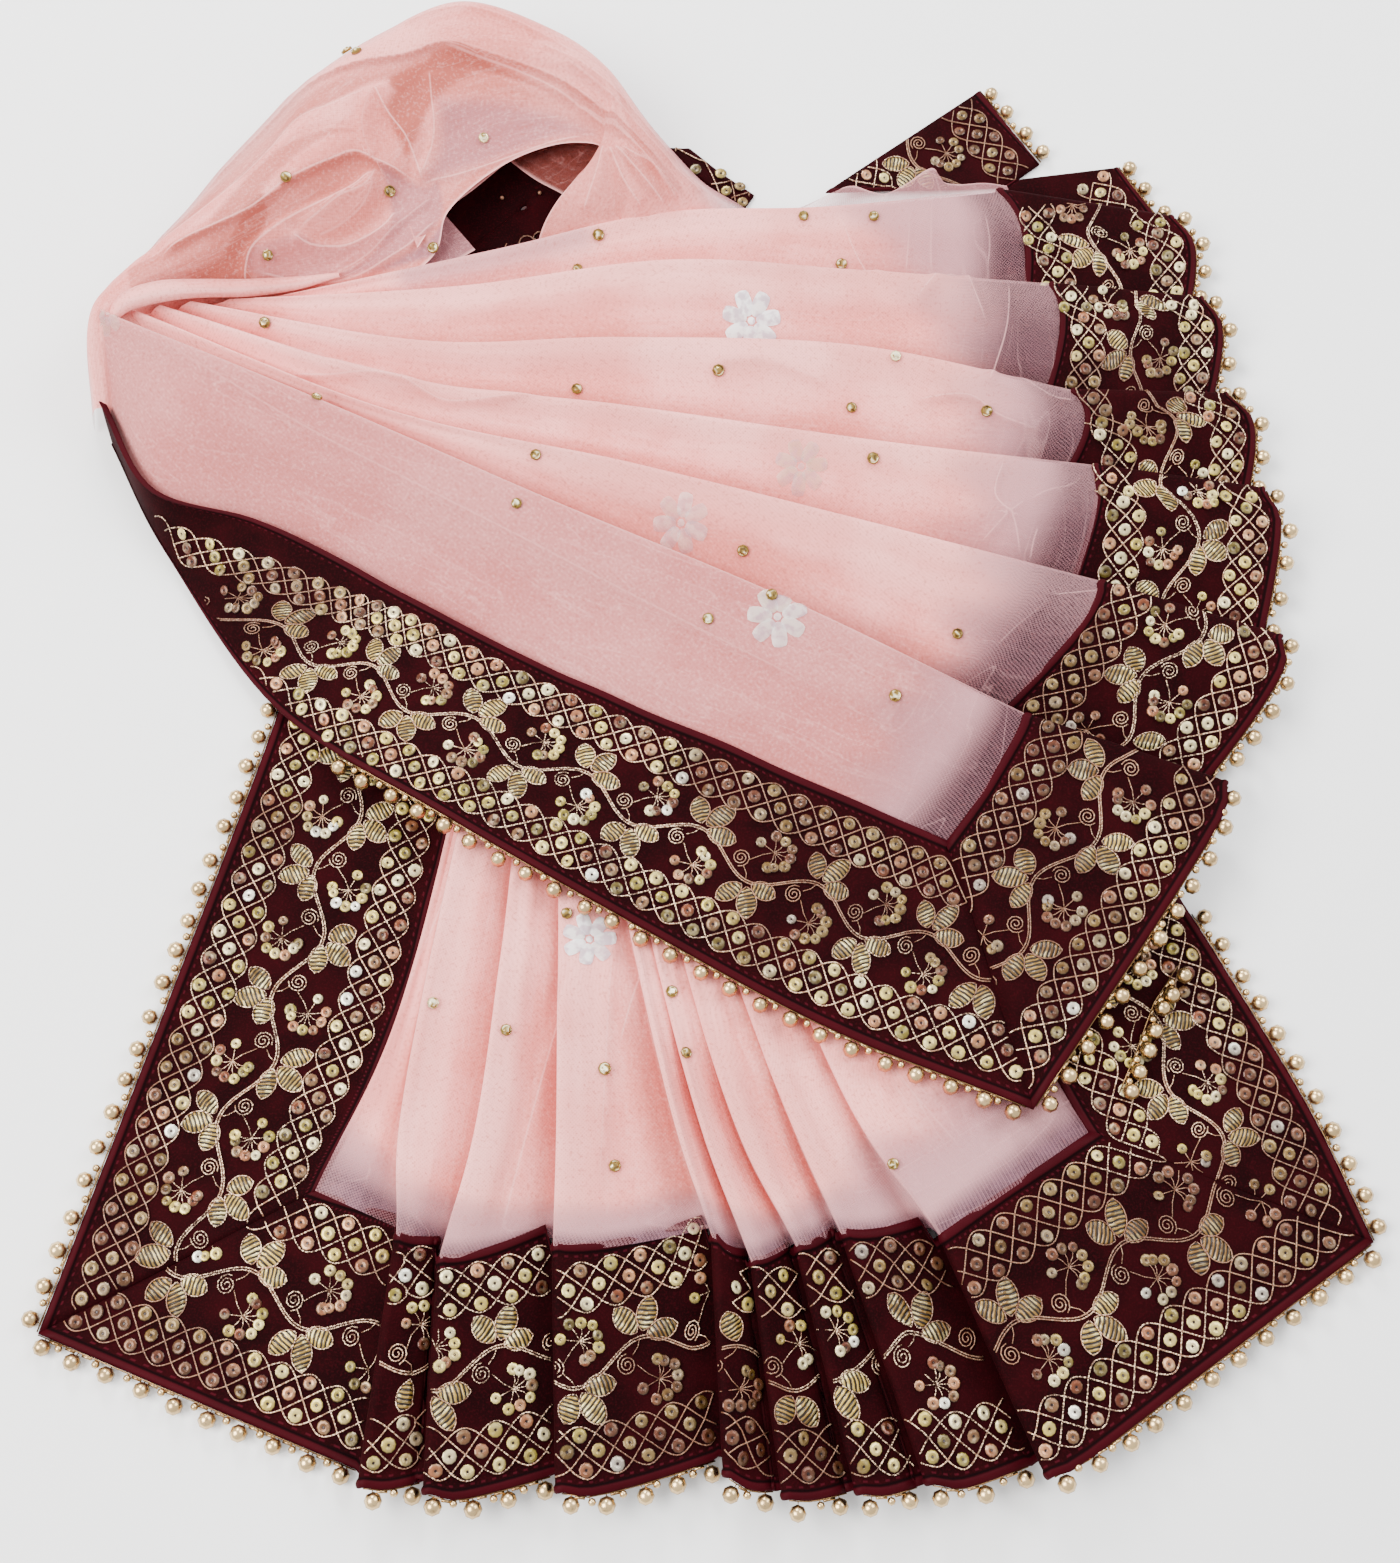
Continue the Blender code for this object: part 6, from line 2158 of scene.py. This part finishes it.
# %% Finishes
def stone_material():
    shader = Shader("gold_cup_stones", (0.6, 0.45, 0.16), 0.15, 0.3)
    tint = shader.attribute("tint")
    wear = shader.noise(700, 2)
    # Low tints give dark gold and high ones near white, for the painted glints of the facets.
    gold = shader.blend(tint.smooth(0, 0.5), (0.03, 0.014, 0.005), (0.27, 0.175, 0.035))
    colour = shader.blend(tint.smooth(0.5, 1), gold, (0.98, 0.9, 0.62))
    colour = shader.blend(wear.smooth(0.55, 0.75) * 0.4, colour, (0.22, 0.12, 0.03))
    return shader.give(Base_Color=colour, Roughness=0.12 + wear * 0.12)


def petal_material():
    shader = Shader("pearly_petals", (0.95, 0.95, 0.98), 0.2)
    tint = shader.attribute("tint")
    cover = shader.attribute("cover")
    milk = shader.noise(260, 2)
    colour = shader.blend(tint, (0.98, 0.97, 0.98), (0.62, 0.46, 0.3))
    colour = shader.blend(milk.smooth(0.42, 0.62) * 0.75, colour, (0.5, 0.36, 0.44))
    shader.relief(milk, 0.3, 0.0004)
    return shader.give(Base_Color=colour, Roughness=0.16 + milk * 0.15, Alpha=cover)


STONES = stone_material()
PETALS = petal_material()

# %% Where they are sewn
STONE_RADIUS = 2.3
STONE_SIDES = 8
LOOP_STONES = ((-85, 262), (-121, 238), (-166, 208), (-104, 218), (-134, 291), (-158, 234), (-140, 300))
UPPER_STONES = ((-165, 179), (-40, 226), (-142, 143), (-61, 124), (-67, 102), (7, 165), (-47, 157), (-48, 212),
                (16, 90), (3, 59), (26, 67), (70, 30), (95, 59), (69, 238), (41, 237), (56, 219), (75, 171),
                (58, 152), (65, 127), (110, 151))
LOWER_STONES = ((-93, -79), (-10, -75), (-33, -102), (-67, -89), (-29, -135), (-5, -97), (65, -135), (-47, -47))
WHITE_STONES = ((75, 171), (-93, -79), (-85, 262))
Flower = namedtuple("Flower", "place radius tint cover turn")
UPPER_FLOWERS = (Flower((20, 190), 11.5, 0, 0.92, 0.2), Flower((-7, 100), 10.5, 0.25, 0.34, 0.5),
                 Flower((38, 124), 10, 0.75, 0.38, 0.1), Flower((28, 59), 11, 0.3, 0.55, 0.35),
                 Flower((-221, 176), 6.5, 0.5, 0.25, 0))
LOWER_FLOWERS = (Flower((-39, -56), 9.5, 0, 0.85, 0.1),)
PETAL_COUNT = 7
PETAL_ROWS = 8
PETAL_COLUMNS = 6


def net_surface(piece):
    """A piece of net as a surface in millimetres, to find its height."""
    points = np.zeros(len(piece.data.vertices) * 3, np.float32)
    piece.data.vertices.foreach_get("co", points)
    points = points.reshape(-1, 3) / MM - np.array(tuple(TABLE_SHIFT))
    faces = [tuple(face.vertices) for face in piece.data.polygons]
    return BVHTree.FromPolygons([tuple(point) for point in points], faces)


def drop_on(surface, x, y):
    """Where a plumb line meets the net, and the way up there."""
    place, normal, _, _ = surface.ray_cast(Vector((x, y, PLUMB_HEIGHT)), -UP)
    if place is None:
        return Vector((x, y, 1)), UP
    return place, (normal if normal.z > 0 else -normal)


# A gold cup with a bevelled rim, and the facets of the stone inside it.
STONE_RINGS = ((0.96, 0, 0), (1, 0.35, 0), (0.86, 0.52, 0), (0.74, 0.42, 0.5), (0.42, 0.72, 0))
STONE_POINTS = np.array(ring_points(STONE_RINGS, STONE_SIDES))
STONE_FACES = [tuple(range(4 * STONE_SIDES, 5 * STONE_SIDES))] + ring_faces(STONE_SIDES, 5)


def sew_stones(name, surface, places):
    pile = Pile()
    for x, y in places:
        place, up = drop_on(surface, x, y)
        side = Vector((1, 0, 0)).cross(up).normalized()
        front = side.cross(up)
        radius = STONE_RADIUS * dice.uniform(0.9, 1.08)
        shape = STONE_POINTS * radius @ np.array([tuple(side), tuple(front), tuple(up)])
        bright = 0.35 if (x, y) in WHITE_STONES else 0
        # The cup's rim takes a middling gold; each facet takes a random light or dark tint, as painted glints and dark
        # reflections.
        rim = [0.22 + bright + 0.25 * dice.random() for _ in range(3 * STONE_SIDES)]
        facet_glints = [min(dice.choice((0.08, 0.3, 0.5, 0.75, 1)) + bright, 1) for _ in range(2 * STONE_SIDES)]
        pile.add(shape + np.array(tuple(place + up * 0.15)), STONE_FACES, rim + facet_glints)
    print(name, len(places), "stones")
    return pile.piece(name, STONES, "beads", smooth=False)


# %% Flowers
def sew_flowers(name, surface, flowers):
    pile = Pile()
    covers = []
    for flower in flowers:
        for k in range(PETAL_COUNT):
            turn = tau * (k + flower.turn) / PETAL_COUNT
            points = []
            for share in even_shares(PETAL_ROWS):
                reach = flower.radius * mix(0.17, 1, 0.5 - 0.5 * cos(pi * share))
                oval = sqrt(max(1 - (2 * share - 1) ** 2, 0.02))
                half = flower.radius * 0.3 * oval * mix(0.72, 1, share)
                for j in range(PETAL_COLUMNS):
                    side = 2 * j / (PETAL_COLUMNS - 1) - 1
                    x = flower.place[0] + reach * cos(turn) - half * side * sin(turn)
                    y = flower.place[1] + reach * sin(turn) + half * side * cos(turn)
                    place, up = drop_on(surface, x, y)
                    dome = 0.5 * sin(pi * share) * (1 - side ** 2)
                    points.append(tuple(place + up * (0.35 + dome)))
            tint = min(flower.tint + 0.35 * dice.random(), 1)
            pile.add(points, grid_faces(PETAL_ROWS, PETAL_COLUMNS), tint)
            covers += [flower.cover * dice.uniform(0.8, 1)] * len(points)
        middle = []
        for x, y, height in ring_points([(flower.radius * 0.13, 0.4, 0)], 10):
            place, up = drop_on(surface, flower.place[0] + x, flower.place[1] + y)
            middle.append(tuple(place + up * height))
        place, up = drop_on(surface, *flower.place)
        middle.append(tuple(place + up * 0.8))
        pile.add(middle, [(k, (k + 1) % 10, 10) for k in range(10)], flower.tint)
        covers += [flower.cover] * 11
    piece = pile.piece(name, PETALS, "beads")
    mark(piece, "cover", covers)
    print(name, len(flowers), "flowers")
    return piece


upper_surface = net_surface(upper_fan)
lower_surface = net_surface(lower_fan)
arch_surface = net_surface(arch)
loop_sewn = [sew_stones("stones_loop", arch_surface, LOOP_STONES)]
upper_sewn = [sew_stones("stones_upper", upper_surface, UPPER_STONES),
              sew_flowers("flowers_upper", upper_surface, UPPER_FLOWERS)]
lower_sewn = [sew_stones("stones_lower", lower_surface, LOWER_STONES),
              sew_flowers("flowers_lower", lower_surface, LOWER_FLOWERS)]


# %% [markdown]
# ## What each sheet was cut to
# Every sheet of cloth prints the size it had before it was pleated, which its own UV map measures, and its flat area.

declare(lower_fan, lower_places, lower_sewn)
declare(upper_fan, upper_places, upper_sewn)
declare(under_lower, under_lower_places)
declare(under_upper, under_upper_places)
declare(arch, arch_places, loop_sewn)
declare(roll, roll_places)
declare(behind, behind_places)
for layer, layer_places in hollow_layers:
    declare(layer, layer_places)
declare(lower_end, cuts["border_lower_end"],
        sewn["border_lower_end"] + edgings_of(LOWER_BEADS))
declare(upper_end, cuts["border_upper_end"],
        sewn["border_upper_end"] + edgings_of(UPPER_BEADS) + edgings_of(["beads_cluster"]))
for name, (piece, _) in strips.items():
    corner = name == UPPER_CORNER.name
    beads = "beads_upper_8" if corner else name.replace("border", "beads")
    declare(piece, cuts[name],
            sewn[name] + edgings_of([beads]))
declare(floor_velvet, floor_places, [glints])
declare(edge_velvet, edge_places, sewn["border_behind_loop"])
